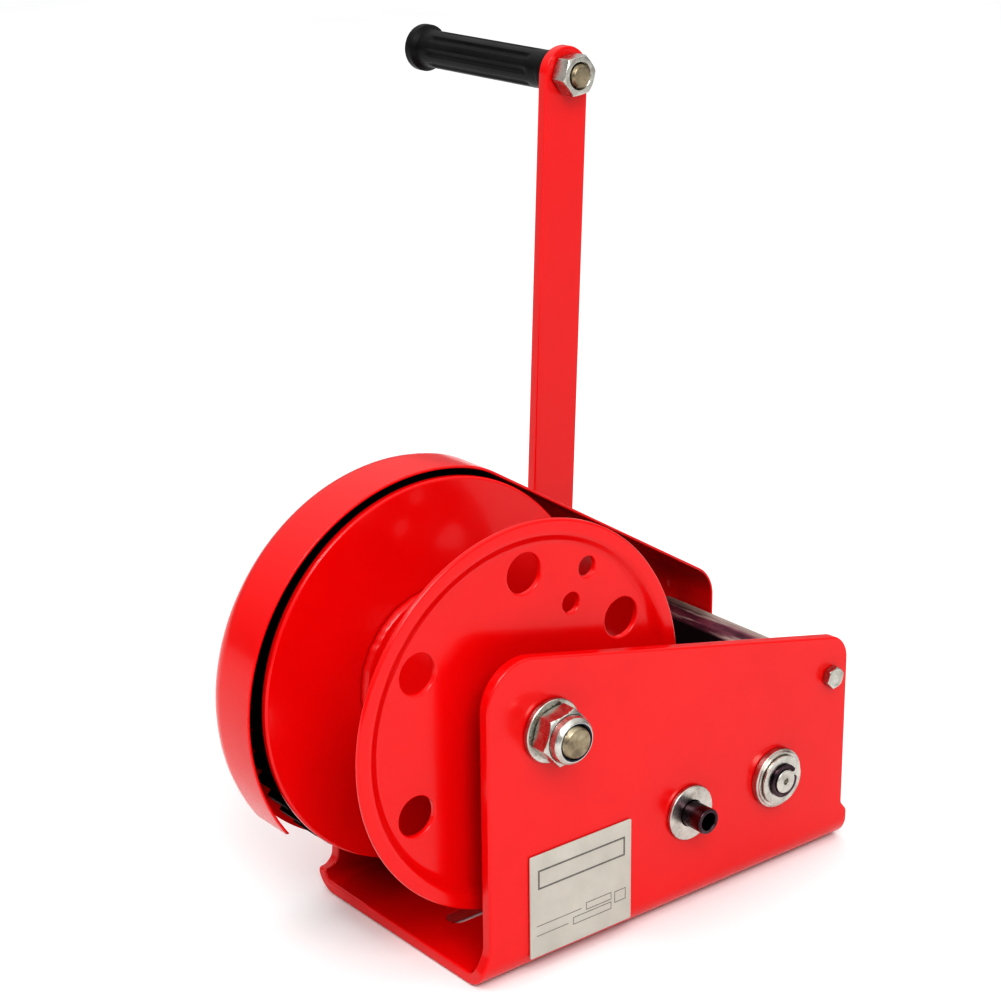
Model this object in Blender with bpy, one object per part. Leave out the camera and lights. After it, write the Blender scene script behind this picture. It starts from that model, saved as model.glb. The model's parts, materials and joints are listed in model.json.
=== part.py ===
"""Geared hand brake winch: U frame, cable drum, double reduction gears, ratchet brake, crank.

Millimetres inside the functions, metres in the scene. X runs along the shafts: +X is the side
with the data plate, -X the side with the gears, brake and crank. +Y is the rear, +Z is up.
The origin is the middle of the base's underside.
"""
import math

import bmesh
import bpy
from mathutils import Vector
from mathutils.geometry import tessellate_polygon

MM = 0.001
GAP = 0.3                      # air left between neighbouring solids
ROUND_STEPS, DISC_STEPS, DRUM_STEPS = 18, 28, 60        # facets of small, middle and large rounds

# Frame: one sheet bent into a U
FRAME_W, FRAME_L, PLATE = 131.0, 235.4, 6.0
BEND_R = 12.0
TAB_H, TAB_STEP = 16.0, 5.0    # at the rear the base stays full length up to here, then steps in
FRONT_TAB_H, FRONT_TAB_STEP = 9.0, 9.0
UPRIGHT_FRONT, UPRIGHT_REAR = -35.0, 192.0      # from the drum's axis
FAR_FRONT, FAR_FOOT_Z, FAR_FOOT_R = -30.7, 11.0, 10.0   # far upright's front edge and its foot
TOP_Z, TOP_SLOPE = 34.9, -0.2207                # top edge: height over the axis, fall to the rear
TOP_FRONT_R, TOP_REAR_R = 22.0, 14.0
SLOT_W, SLOT_L = 10.0, 32.0
SLOT_PLACES = ((11.9, -80.0), (-14.1, 90.0), (37.9, 90.0))

# Shaft places
DRUM_Y, DRUM_Z = -78.3, 119.6
MESH_1_ANGLE, MESH_2_ANGLE = -38.8, 0.7         # directions of the two lines of centres, degrees

# Gears: module, teeth, profile shift
MODULE_1, DRUM_TEETH, PINION_1_TEETH, SHIFT_1 = 3.6, 52, 9, 0.5
MODULE_2, GEAR_2_TEETH, PINION_2_TEETH, SHIFT_2 = 3.0, 26, 12, 0.25
ADDENDUM, DEDENDUM, BACKLASH = 0.75, 1.25, 0.5
PRESSURE_ANGLE = math.radians(20.0)

# Places along X, from the near upright's outer face, all negative towards the far side
NEAR_IN = -PLATE
FAR_OUT, FAR_IN = -FRAME_W, -FRAME_W + PLATE
CASE_OUT, CASE_SKIN, CASE_EDGE = FAR_IN + GAP, 2.5, -87.0
NEAR_FLANGE, FAR_FLANGE = -16.2, -84.9          # the flanges' faces turned to +X
DRUM_GEAR = (-105.5, -89.6)
PINION_1 = (-106.5, -90.1)
GEAR_2 = (-118.5, -108.5)
PINION_2 = (-119.6, -107.2)
ARM = (-178.0, -172.0)
GRIP_END = -293.0

# Drum
FLANGE_R, FAR_FLANGE_R, FLANGE_T, FAR_FLANGE_T = 92.4, 94.2, 3.2, 4.4
DISH_R, DISH_DEPTH = 79.5, 3.3
BARREL_R, BARREL_WALL = 39.0, 5.0
BIG_HOLES, BIG_HOLE_R, BIG_HOLE_PCR, BIG_HOLE_PHASE = 6, 9.6, 67.4, 28.0
ROPE_HOLE_R, ROPE_HOLE_ANGLE, ROPE_HOLE_PCRS = 4.8, 57.7, (72.9, 55.0)
AXLE_R, DRUM_BUSH_R = 8.0, 13.0

# Gear case
CASE_R, CASE_WALL = 101.0, 1.4
CASE_SHIFT = (-1.6, -1.8)                       # its round front's middle, from the drum's axis
CASE_SLOPE_ANGLE, CASE_SLOPE_D = 58.5, 99.2     # normal of the sloping top, distance from the middle
CASE_REAR, CASE_FLOOR = 184.6, -106.7           # from the middle too
CASE_LIP_Z, CASE_LIP_REAR, CASE_OPEN_Z = -59.0, 150.0, -100.0     # where the rim ends below
CASE_NOTCH_Z, CASE_NOTCH_REAR = -83.5, -29.5    # the far plate's lower edge, in front of the upright
CASE_BLEND_R, CASE_TOP_R, CASE_FOOT_R = 60.0, 20.0, 9.0
CASE_FRONT_END = 250.0                          # where the rim leaves the drum's circle, degrees

# Standard hardware: hexagons across flats, washers and screws
M16_FLATS, M12_FLATS, M6_FLATS = 24.0, 19.0, 10.0
M16_WASHER_R, M16_SPACER_R, WASHER_T = 15.2, 12.5, 3.0
M6_R, M6_HOLE_R, M6_HEAD_H, M6_BOLT_HEAD_R = 3.0, 3.3, 4.1, 5.5

# Shafts and bushes
MID_R, MID_THICK_R, MID_END = 6.3, 9.0, 14.3
MID_SOCKET_R, MID_SOCKET_DEPTH = 4.2, 9.0
CRANK_R, CRANK_THICK_R, CRANK_NEAR_R, CRANK_NEAR_END = 8.0, 9.5, 6.0, 8.6
BUSH_WALL = 3.0
DRUM_BUSH_FLANGE_R, MID_BUSH_FLANGE_R = 17.0, 13.7
CRANK_NEAR_FLANGE_R, CRANK_FAR_FLANGE_R = 15.1, 16.0

# Brake
BRAKE_FLANGE_R, LINING_R, LINING_T, LINING_BORE = 33.0, 31.0, 2.5, 14.0
RATCHET_TEETH, RATCHET_R, RATCHET_ROOT_R, RATCHET_T = 12, 36.0, 30.0, 7.0
HUB_R = 15.0
PAWL_PIVOT = (-46.0, 38.0)                      # from the crank shaft's axis
PAWL_PIN_R, PAWL_BOSS_R = 4.0, 8.5

# Crank
ARM_LENGTH, ARM_LEAN, ARM_W = 320.8, 2.45, 27.5
GRIP_R, GRIP_COLLAR_R, GRIP_FLANGE_R, GRIP_BOLT_R = 9.8, 10.8, 12.6, 6.0

# Rear brace and data plate
BRACE_FRONT, BRACE_REAR, BRACE_TOP, BRACE_WEB = 163.5, 180.0, -18.8, 26.0
BRACE_T, BRACE_TAB_T = 3.0, 5.0
BRACE_BOLT_NEAR, BRACE_BOLT_FAR = (179.8, -25.2), (173.5, -28.5)
PLATE_YZ, PLATE_SIZE, DATA_PLATE_T = (18.0, -86.0), (61.0, 52.0), 0.8
CASE_SCREWS = ((-20.0, -50.0), (60.0, 8.0), (100.0, -98.0))


def polar(radius, degrees, centre=(0.0, 0.0)):
    angle = math.radians(degrees)
    return (centre[0] + radius * math.cos(angle), centre[1] + radius * math.sin(angle))


def arc(centre, radius, start, end, steps):
    """Points on an arc from start to end degrees, both ends included."""
    return [polar(radius, start + (end - start) * i / steps, centre) for i in range(steps + 1)]


def circle(centre, radius, steps=ROUND_STEPS):
    return [polar(radius, 360.0 * i / steps, centre) for i in range(steps)]


def rounded(corners, steps=6):
    """Outline through corners (u, v, radius), with each corner rounded by an arc."""
    points = []
    for i, (u, v, radius) in enumerate(corners):
        here = Vector((u, v))
        if radius <= 0.0:
            points.append((u, v))
            continue
        before = (Vector(corners[i - 1][:2]) - here).normalized()
        after = (Vector(corners[(i + 1) % len(corners)][:2]) - here).normalized()
        half = before.angle(after) / 2.0
        centre = here + (before + after).normalized() * (radius / math.sin(half))
        first = here + before * (radius / math.tan(half)) - centre
        turn = first.angle_signed(here + after * (radius / math.tan(half)) - centre)
        start = math.atan2(first.y, first.x)
        points += [polar(radius, math.degrees(start - turn * k / steps), centre)
                   for k in range(steps + 1)]
    return points


# Shaft axes, in the scene's Y and Z
CENTRES_1 = MODULE_1 * (DRUM_TEETH + PINION_1_TEETH) / 2.0
CENTRES_2 = MODULE_2 * (GEAR_2_TEETH + PINION_2_TEETH) / 2.0
DRUM_AXIS = (DRUM_Y, DRUM_Z)
MID_AXIS = polar(CENTRES_1, MESH_1_ANGLE, DRUM_AXIS)
CRANK_AXIS = polar(CENTRES_2, MESH_2_ANGLE, MID_AXIS)
GRIP_AXIS = polar(ARM_LENGTH, 90.0 - ARM_LEAN, CRANK_AXIS)
PAWL_AXIS = (CRANK_AXIS[0] + PAWL_PIVOT[0], CRANK_AXIS[1] + PAWL_PIVOT[1])
ROOT_AXIS = (0.0, 0.0)
X_SHIFT = FRAME_W / 2.0


def at_drum(place):
    """A place given from the drum's axis, in the scene's Y and Z."""
    return (place[0] + DRUM_Y, place[1] + DRUM_Z)


def clear_scene():
    for old in list(bpy.data.objects):
        bpy.data.objects.remove(old, do_unlink=True)


def material(name, colour, metallic, roughness):
    made = bpy.data.materials.new(name)
    made.use_nodes = True
    shader = made.node_tree.nodes["Principled BSDF"]
    shader.inputs["Base Color"].default_value = (*colour, 1.0)
    shader.inputs["Metallic"].default_value = metallic
    shader.inputs["Roughness"].default_value = roughness
    return made


def joint_axis(name, axis, parent=None):
    """Empty on a shaft's axis, which its pieces hang on."""
    empty = bpy.data.objects.new(name, None)
    bpy.context.scene.collection.objects.link(empty)
    base = (0.0, 0.0)
    if parent is not None:
        empty.parent = parent
        base = (parent["axis_y"], parent["axis_z"])
    empty.location = (0.0, (axis[0] - base[0]) * MM, (axis[1] - base[1]) * MM)
    empty["axis_y"], empty["axis_z"] = axis
    return empty


def finish_mesh(bm, name, look, parent):
    """Mesh in millimetres around the parent's axis to a named object in metres."""
    bmesh.ops.recalc_face_normals(bm, faces=bm.faces)
    bmesh.ops.scale(bm, vec=(MM, MM, MM), verts=bm.verts)
    mesh = bpy.data.meshes.new(name)
    bm.to_mesh(mesh)
    bm.free()
    mesh.shade_smooth()
    mesh.set_sharp_from_angle(angle=math.radians(35.0))
    if look is not None:
        mesh.materials.append(look)
    made = bpy.data.objects.new(name, mesh)
    bpy.context.scene.collection.objects.link(made)
    made.parent = parent
    return made


def extruded(loops, low, high, axis="X"):
    """Straight solid between two planes: the first loop is its outside, the others are holes."""
    place = {
        "X": lambda u, v, w: (w + X_SHIFT, u, v),
        "Y": lambda u, v, w: (u, w, v),
        "Z": lambda u, v, w: (u, v, w),
    }[axis]
    bm = bmesh.new()
    flat = [point for loop in loops for point in loop]
    ends = [[bm.verts.new(place(u, v, w)) for u, v in flat] for w in (low, high)]
    for triangle in tessellate_polygon([[Vector((u, v, 0.0)) for u, v in loop] for loop in loops]):
        for end in ends:
            bm.faces.new([end[i] for i in triangle])
    first = 0
    for loop in loops:
        count = len(loop)
        for i in range(count):
            j = (i + 1) % count
            bm.faces.new((ends[0][first + i], ends[0][first + j],
                          ends[1][first + j], ends[1][first + i]))
        first += count
    return bm


def prism(name, look, parent, loops, low, high, axis="X"):
    return finish_mesh(extruded(loops, low, high, axis), name, look, parent)


def turned(name, look, parent, profile, steps=ROUND_STEPS, centre=(0.0, 0.0)):
    """Solid of revolution: profile is a closed line of (x, radius)."""
    bm = bmesh.new()
    verts = [bm.verts.new((x + X_SHIFT, radius, 0.0)) for x, radius in profile]
    edges = [bm.edges.new((verts[i], verts[(i + 1) % len(verts)])) for i in range(len(verts))
             if not (profile[i][1] == 0.0 and profile[(i + 1) % len(verts)][1] == 0.0)]
    bmesh.ops.spin(bm, geom=verts + edges, cent=(X_SHIFT, 0.0, 0.0), axis=(1.0, 0.0, 0.0),
                   angle=math.tau, steps=steps, use_merge=True)
    bmesh.ops.remove_doubles(bm, verts=bm.verts, dist=1e-4)
    bmesh.ops.translate(bm, vec=(0.0, centre[0], centre[1]), verts=bm.verts)
    return finish_mesh(bm, name, look, parent)


def ring(name, look, parent, low, high, bore, radius, chamfer=0.0, steps=ROUND_STEPS):
    """Washer, bush or sleeve."""
    profile = [(low, bore), (low, radius - chamfer), (low + chamfer, radius),
               (high - chamfer, radius), (high, radius - chamfer), (high, bore)]
    if chamfer == 0.0:
        profile = [(low, bore), (low, radius), (high, radius), (high, bore)]
    return turned(name, look, parent, profile, steps)


def hexagon(across_flats, centre=(0.0, 0.0), phase=0.0):
    corner = across_flats / math.sqrt(3.0)
    return [polar(corner, phase + 60.0 * i, centre) for i in range(6)]


def boolean(target, tool, operation):
    """Cut, join or intersect target with tool, and remove the tool."""
    step = target.modifiers.new(operation.lower(), "BOOLEAN")
    step.operation, step.object, step.solver = operation, tool, "EXACT"
    tool.hide_render, tool.display_type = True, "WIRE"
    bpy.context.view_layer.update()
    graph = bpy.context.evaluated_depsgraph_get()
    result = bpy.data.meshes.new_from_object(target.evaluated_get(graph))
    target.modifiers.remove(step)
    old = target.data
    target.data = result
    result.name = target.name
    bpy.data.meshes.remove(old)
    bpy.data.objects.remove(tool, do_unlink=True)


def upright_outline():
    """Side view shared by both uprights, from the drum's axis moved to the scene."""
    front, rear = UPRIGHT_FRONT, UPRIGHT_REAR
    base_front, base_rear = -FRAME_L / 2.0 - DRUM_Y, FRAME_L / 2.0 - DRUM_Y
    tab, front_tab = TAB_H - DRUM_Z, FRONT_TAB_H - DRUM_Z
    corners = (
        (base_front, -DRUM_Z - 1.0, 0.0), (base_rear, -DRUM_Z - 1.0, 0.0),
        (base_rear, tab, 1.5), (rear, tab + TAB_STEP, 2.0),
        (rear, TOP_Z + TOP_SLOPE * rear, TOP_REAR_R),
        (front, TOP_Z + TOP_SLOPE * front, TOP_FRONT_R),
        (front, front_tab + FRONT_TAB_STEP, 12.0), (base_front, front_tab, 3.0),
    )
    return [at_drum(point) for point in rounded(corners, 7)]


def base_frame(look, root):
    """Base and two uprights bent from one sheet, with shaft holes and mounting slots."""
    half, height, inner = FRAME_W / 2.0, 180.0, BEND_R - PLATE
    section = [(-half, height)]
    section += arc((-half + BEND_R, BEND_R), BEND_R, 180.0, 270.0, 5)
    section += arc((half - BEND_R, BEND_R), BEND_R, 270.0, 360.0, 5)
    section += [(half, height), (half - PLATE, height)]
    section += arc((half - BEND_R, BEND_R), inner, 360.0, 270.0, 4)
    section += arc((-half + BEND_R, BEND_R), inner, 270.0, 180.0, 4)
    section += [(-half + PLATE, height)]
    frame = prism("base_frame", look, root, [section], -FRAME_L / 2.0, FRAME_L / 2.0, "Y")
    side = prism("side_cut", None, root, [upright_outline()], -2.0 * FRAME_W, FRAME_W)
    boolean(frame, side, "INTERSECT")
    for x, y in SLOT_PLACES:
        reach = (SLOT_L - SLOT_W) / 2.0
        slot = arc((x, y + reach), SLOT_W / 2.0, 0.0, 180.0, 6)
        slot += arc((x, y - reach), SLOT_W / 2.0, 180.0, 360.0, 6)
        boolean(frame, prism("slot_cut", None, root, [slot], -5.0, PLATE + 5.0, "Z"), "DIFFERENCE")
    edge = FAR_FRONT + DRUM_Y
    foot = (edge - FAR_FOOT_R, FAR_FOOT_Z + FAR_FOOT_R)
    cut = [(-FRAME_L, height), (-FRAME_L, FAR_FOOT_Z)]
    cut += arc(foot, FAR_FOOT_R, 270.0, 360.0, 6) + [(edge, height)]
    boolean(frame, prism("front_cut", None, root, [cut], FAR_OUT - 4.0, FAR_IN + BEND_R),
            "DIFFERENCE")
    near = (NEAR_IN - 4.0, 4.0)
    far = (FAR_OUT - 4.0, FAR_IN + 4.0)
    holes = [(DRUM_AXIS, AXLE_R + GAP, near), (DRUM_AXIS, AXLE_R + GAP, far),
             (MID_AXIS, MID_R + BUSH_WALL + 2.0 * GAP, near),
             (MID_AXIS, MID_R + BUSH_WALL + 2.0 * GAP, far),
             (CRANK_AXIS, CRANK_NEAR_R + BUSH_WALL + 2.0 * GAP, near),
             (CRANK_AXIS, CRANK_R + BUSH_WALL + 2.0 * GAP, far),
             (at_drum(BRACE_BOLT_NEAR), M6_HOLE_R, near), (at_drum(BRACE_BOLT_FAR), M6_HOLE_R, far),
             (PAWL_AXIS, PAWL_PIN_R + GAP, far)]
    holes += [(at_drum(place), M6_HOLE_R, far) for place in CASE_SCREWS]
    for centre, radius, span in holes:
        boolean(frame, prism("hole_cut", None, root, [circle(centre, radius)], *span),
                "DIFFERENCE")
    return frame


def case_outline(inset):
    """Gear case seen along X, shrunk by inset."""
    radius, distance, blend = CASE_R - inset, CASE_SLOPE_D - inset, CASE_BLEND_R - inset
    normal = Vector(polar(1.0, CASE_SLOPE_ANGLE))
    side = Vector(polar(1.0, CASE_SLOPE_ANGLE + 90.0))
    along = math.sqrt((radius - blend) ** 2 - (distance - blend) ** 2)
    centre = normal * (distance - blend) + side * along
    turn = math.degrees(math.atan2(centre.y, centre.x))
    rear, floor = CASE_REAR - inset, CASE_FLOOR + inset
    slope_start = centre + normal * blend
    drop = (rear - slope_start.x) / side.x
    top_corner = slope_start + side * drop
    points = arc((0.0, 0.0), radius, CASE_FRONT_END, turn, 36)
    points += arc(centre, blend, turn, CASE_SLOPE_ANGLE, 5)[1:]
    tail = rounded(((*slope_start, 0.0), (*top_corner, CASE_TOP_R - inset),
                    (rear, floor, CASE_FOOT_R - inset), (25.0, floor, 0.0)), 6)
    return [at_drum((u + CASE_SHIFT[0], v + CASE_SHIFT[1])) for u, v in points + tail[1:]]


def gear_case(look, root):
    """Pressed cover around the gears: far plate, and a rim that is open at the bottom."""
    shell = prism("gear_case", look, root, [case_outline(0.0)], CASE_OUT, CASE_EDGE)
    boolean(shell, prism("pan_cut", None, root, [case_outline(CASE_WALL)], CASE_OUT + CASE_SKIN,
                         CASE_EDGE + 9.0), "DIFFERENCE")
    below = CASE_FLOOR - 5.0
    mouth = [(-CASE_R - 5.0, below), (CASE_REAR + 5.0, below), (CASE_REAR + 5.0, CASE_OPEN_Z),
             (CASE_LIP_REAR, CASE_OPEN_Z), (CASE_LIP_REAR, CASE_LIP_Z), (-CASE_R - 5.0, CASE_LIP_Z)]
    notch = [(-CASE_R - 6.0, below), (CASE_NOTCH_REAR, below), (CASE_NOTCH_REAR, CASE_NOTCH_Z),
             (-CASE_R - 6.0, CASE_NOTCH_Z)]
    for outline, low in ((notch, CASE_OUT - 5.0), (mouth, CASE_OUT + CASE_SKIN)):
        boolean(shell, prism("mouth_cut", None, root, [[at_drum(p) for p in outline]], low,
                             CASE_EDGE + 9.0), "DIFFERENCE")
    holes = [(DRUM_AXIS, AXLE_R + GAP), (MID_AXIS, MID_R + BUSH_WALL + 2.0 * GAP),
             (CRANK_AXIS, CRANK_R + BUSH_WALL + 2.0 * GAP), (at_drum(BRACE_BOLT_FAR), M6_HOLE_R)]
    holes += [(at_drum(place), M6_HOLE_R) for place in CASE_SCREWS]
    for centre, radius in holes:
        tool = prism("hole_cut", None, root, [circle(centre, radius)],
                     CASE_OUT - 5.0, CASE_OUT + CASE_SKIN + 5.0)
        boolean(shell, tool, "DIFFERENCE")
    return shell


def involute(angle):
    return math.tan(angle) - angle


def gear_outline(teeth, module, shift, phase, flank=2):
    """Involute teeth, with a tooth's middle at phase degrees."""
    pitch = module * teeth / 2.0
    base = pitch * math.cos(PRESSURE_ANGLE)
    tip = pitch + module * (ADDENDUM + shift)
    root = pitch - module * (DEDENDUM - shift)
    half = math.pi / (2 * teeth) + 2.0 * shift * math.tan(PRESSURE_ANGLE) / teeth
    half += involute(PRESSURE_ANGLE) - BACKLASH / 2.0 / pitch
    start = max(base, root)
    sides = []
    for i in range(flank + 1):
        radius = start + (tip - start) * i / flank
        sides.append((radius, half - involute(math.acos(min(1.0, base / radius)))))
    if root < base:
        sides.insert(0, (root, half))
    points = []
    for tooth in range(teeth):
        middle = math.radians(phase) + math.tau * tooth / teeth
        points += [(r * math.cos(middle - a), r * math.sin(middle - a)) for r, a in sides]
        points += [(r * math.cos(middle + a), r * math.sin(middle + a)) for r, a in sides[::-1]]
    return points


def gear(name, look, parent, teeth, module, shift, phase, span, bore, holes=()):
    loops = [gear_outline(teeth, module, shift, phase), circle((0.0, 0.0), bore)]
    loops += [circle(centre, radius, 8) for centre, radius in holes]
    return prism(name, look, parent, loops, *span)


def drum(looks, axis):
    """Two flanges and a barrel, with the big gear bolted behind the far flange."""
    lip, face = NEAR_FLANGE, NEAR_FLANGE - DISH_DEPTH
    bore = DRUM_BUSH_R + GAP
    profile = [(face, bore), (face, DISH_R), (lip, DISH_R + 6.6), (lip, FLANGE_R - 1.2),
               (lip - 1.2, FLANGE_R), (lip - FLANGE_T, FLANGE_R - 1.2),
               (lip - FLANGE_T, DISH_R + 7.6), (face - FLANGE_T, DISH_R + 1.0),
               (face - FLANGE_T, bore)]
    near = turned("drum_flange_near", looks["paint"], axis, profile, DRUM_STEPS)
    holes = [(polar(BIG_HOLE_PCR, BIG_HOLE_PHASE + 360.0 * i / BIG_HOLES), BIG_HOLE_R)
             for i in range(BIG_HOLES)]
    holes += [(polar(radius, ROPE_HOLE_ANGLE), ROPE_HOLE_R) for radius in ROPE_HOLE_PCRS]
    for centre, radius in holes:
        tool = prism("hole_cut", None, axis, [circle(centre, radius)], face - 9.0, lip + 5.0)
        boolean(near, tool, "DIFFERENCE")
    back = FAR_FLANGE - FAR_FLANGE_T
    far = turned("drum_flange_far", looks["paint"], axis,
                 [(FAR_FLANGE, bore), (FAR_FLANGE, FAR_FLANGE_R - 1.2),
                  (FAR_FLANGE - 1.6, FAR_FLANGE_R), (back, FAR_FLANGE_R - 1.0), (back, bore)],
                 DRUM_STEPS)
    inside = BARREL_R - BARREL_WALL
    ring("drum_barrel", looks["paint"], axis, FAR_FLANGE + GAP, face - FLANGE_T - GAP,
         inside, BARREL_R, 0.0, 36)
    bolts = [polar((inside + bore) / 2.0, 45.0 + 90.0 * i) for i in range(4)]
    for i, centre in enumerate(bolts):
        tool = prism("hole_cut", None, axis, [circle(centre, M6_HOLE_R, 12)], back - 5.0,
                     FAR_FLANGE + 5.0)
        boolean(far, tool, "DIFFERENCE")
        turned(f"gear_bolt_{i + 1}", looks["zinc"], axis,
               [(DRUM_GEAR[0] + 1.0, 0.0), (DRUM_GEAR[0] + 1.0, M6_R), (FAR_FLANGE + GAP, M6_R),
                (FAR_FLANGE + GAP, M6_BOLT_HEAD_R), (FAR_FLANGE + 4.0, M6_BOLT_HEAD_R),
                (FAR_FLANGE + 5.0, M6_BOLT_HEAD_R - 0.9), (FAR_FLANGE + 5.0, 0.0)], 12, centre)
    gear("drum_gear", looks["zinc"], axis, DRUM_TEETH, MODULE_1, -SHIFT_1, MESH_1_ANGLE, DRUM_GEAR,
         bore, [(centre, M6_HOLE_R) for centre in bolts])
    return face


def bush(name, look, parent, flange, body, bore, wall, flange_r):
    """Flanged bush: flange and body are (low, high) spans along X that meet."""
    outer = bore + wall
    if flange[0] >= body[1]:
        profile = [(body[0], bore), (body[0], outer), (flange[0], outer), (flange[0], flange_r),
                   (flange[1] - 0.4, flange_r), (flange[1], flange_r - 0.4), (flange[1], bore)]
    else:
        profile = [(flange[0], bore), (flange[0], flange_r - 0.4), (flange[0] + 0.4, flange_r),
                   (flange[1], flange_r), (flange[1], outer), (body[1], outer), (body[1], bore)]
    return turned(name, look, parent, profile)


def drum_support(looks, axis, face):
    """Fixed axle bolt with its spacers, washers and lock nut, and the drum's two bushes."""
    bore = AXLE_R + GAP
    bush("drum_bush_near", looks["bronze"], axis["drum"], (face + GAP, face + 2.9),
         (face - 12.0, face + GAP), bore, DRUM_BUSH_R - bore, DRUM_BUSH_FLANGE_R)
    low = DRUM_GEAR[0]
    bush("drum_bush_far", looks["bronze"], axis["drum"], (low - 2.7, low - GAP),
         (low - GAP, FAR_FLANGE + 1.0), bore, DRUM_BUSH_R - bore, DRUM_BUSH_FLANGE_R)
    fixed = axis["axle"]
    ring("axle_spacer_near", looks["zinc"], fixed, face + 2.9 + GAP, NEAR_IN - GAP, bore,
         M16_SPACER_R)
    ring("axle_spacer_far", looks["zinc"], fixed, CASE_OUT + CASE_SKIN + GAP, low - 2.7 - GAP,
         bore, M16_SPACER_R)
    ring("axle_washer_near", looks["zinc"], fixed, GAP, GAP + WASHER_T, bore, M16_WASHER_R, 0.4)
    ring("axle_washer_far", looks["zinc"], fixed, FAR_OUT - GAP - WASHER_T, FAR_OUT - GAP, bore,
         M16_WASHER_R, 0.4)
    head = prism("axle_bolt", looks["zinc"], fixed, [hexagon(M16_FLATS)], FAR_OUT - 13.6,
                 FAR_OUT - 3.6)
    stem = turned("stem", None, fixed, [(FAR_OUT - 8.0, 0.0), (FAR_OUT - 8.0, AXLE_R),
                                        (19.2, AXLE_R), (20.4, AXLE_R - 1.2), (20.4, 0.0)])
    boolean(head, stem, "UNION")
    nut = prism("axle_lock_nut", looks["zinc"], fixed, [hexagon(M16_FLATS, phase=12.0)], 3.6, 13.6)
    collar = turned("collar", None, fixed, [(10.0, 0.0), (10.0, 11.2), (17.0, 11.2),
                                            (18.8, 10.0), (18.8, 0.0)])
    boolean(nut, collar, "UNION")
    boolean(nut, prism("bore_cut", None, fixed, [circle((0.0, 0.0), bore)], 0.0, 25.0),
            "DIFFERENCE")


def shafts(looks, axis):
    """Intermediate and crank shafts with their gears, bushes, washers and retaining rings."""
    mid, crank, mid_seat, crank_seat = axis["mid"], axis["crank"], axis["mid_seat"], axis["crank_seat"]
    bush("mid_bush_near", looks["zinc"], mid_seat, (GAP, 2.4), (NEAR_IN, GAP), MID_R + GAP,
         BUSH_WALL, MID_BUSH_FLANGE_R)
    bush("mid_bush_far", looks["bronze"], mid_seat, (FAR_OUT - 2.3, FAR_OUT - GAP),
         (FAR_OUT - GAP, CASE_OUT + CASE_SKIN), MID_R + GAP, BUSH_WALL,
         MID_BUSH_FLANGE_R)
    socket = MID_END - MID_SOCKET_DEPTH
    far_end = FAR_OUT - 6.0
    turned("mid_shaft", looks["black_steel"], mid,
           [(far_end, 0.0), (far_end, MID_R - 0.8), (far_end + 0.8, MID_R),
            (PINION_1[0] - 0.8, MID_R), (PINION_1[1] + GAP, MID_R),
            (PINION_1[1] + GAP, MID_THICK_R), (NEAR_IN - 1.0, MID_THICK_R), (NEAR_IN - 1.0, MID_R),
            (MID_END - 0.8, MID_R), (MID_END, MID_R - 0.8), (MID_END, MID_SOCKET_R),
            (socket, MID_SOCKET_R), (socket - 1.5, 0.0)])
    ring("mid_ring_far", looks["black_steel"], mid, FAR_OUT - 4.1, FAR_OUT - 2.6, MID_R + GAP, 10.0)
    ring("mid_spacer", looks["zinc"], mid, GEAR_2[1] + GAP, PINION_1[0] - GAP, MID_R + GAP, 10.5)
    mesh_back = MESH_1_ANGLE + 180.0
    gear("mid_pinion", looks["black_steel"], mid, PINION_1_TEETH, MODULE_1, SHIFT_1,
         mesh_back + 180.0 / PINION_1_TEETH, PINION_1, MID_R + GAP)
    gear("mid_gear", looks["zinc"], mid, GEAR_2_TEETH, MODULE_2, -SHIFT_2, MESH_2_ANGLE, GEAR_2,
         MID_R + GAP, [(polar(24.0, 30.0 + 60.0 * i), 6.0) for i in range(6)])

    bush("crank_bush_near", looks["zinc"], crank_seat, (GAP, 4.6), (NEAR_IN, GAP),
         CRANK_NEAR_R + GAP, BUSH_WALL, CRANK_NEAR_FLANGE_R)
    bush("crank_bush_far", looks["bronze"], crank_seat, (FAR_OUT - 3.0, FAR_OUT - GAP),
         (FAR_OUT - GAP, CASE_OUT + CASE_SKIN), CRANK_R + GAP, BUSH_WALL,
         CRANK_FAR_FLANGE_R)
    ring("crank_washer_near", looks["zinc"], crank, 4.9, 6.2, CRANK_NEAR_R + GAP, 12.6, 0.3)
    ring("crank_ring_near", looks["black_steel"], crank, 6.5, 7.7, CRANK_NEAR_R + GAP, 8.4, 0.2)
    tip = ARM[0] - 15.0
    turned("crank_shaft", looks["zinc"], crank,
           [(tip, 0.0), (tip, CRANK_R - 1.2), (tip + 1.2, CRANK_R), (PINION_2[1] + GAP, CRANK_R),
            (PINION_2[1] + GAP, CRANK_THICK_R), (NEAR_IN - 1.0, CRANK_THICK_R),
            (NEAR_IN - 1.0, CRANK_NEAR_R), (CRANK_NEAR_END - 0.6, CRANK_NEAR_R),
            (CRANK_NEAR_END, CRANK_NEAR_R - 0.6), (CRANK_NEAR_END, 1.6),
            (CRANK_NEAR_END - 1.6, 0.0)])
    gear("crank_pinion", looks["black_steel"], crank, PINION_2_TEETH, MODULE_2, SHIFT_2,
         MESH_2_ANGLE + 180.0 + 180.0 / PINION_2_TEETH, PINION_2, CRANK_R + GAP)


def ratchet_outline():
    """Saw teeth: a straight radial face, then a slope down to the next tooth's root."""
    points = []
    pitch = 360.0 / RATCHET_TEETH
    for i in range(RATCHET_TEETH):
        start = 90.0 - i * pitch
        points += [polar(RATCHET_ROOT_R, start), polar(RATCHET_R, start),
                   polar(RATCHET_R - 0.4, start - 0.2 * pitch),
                   polar(RATCHET_ROOT_R + 0.8, start - 0.85 * pitch)]
    return points[::-1]


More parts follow.
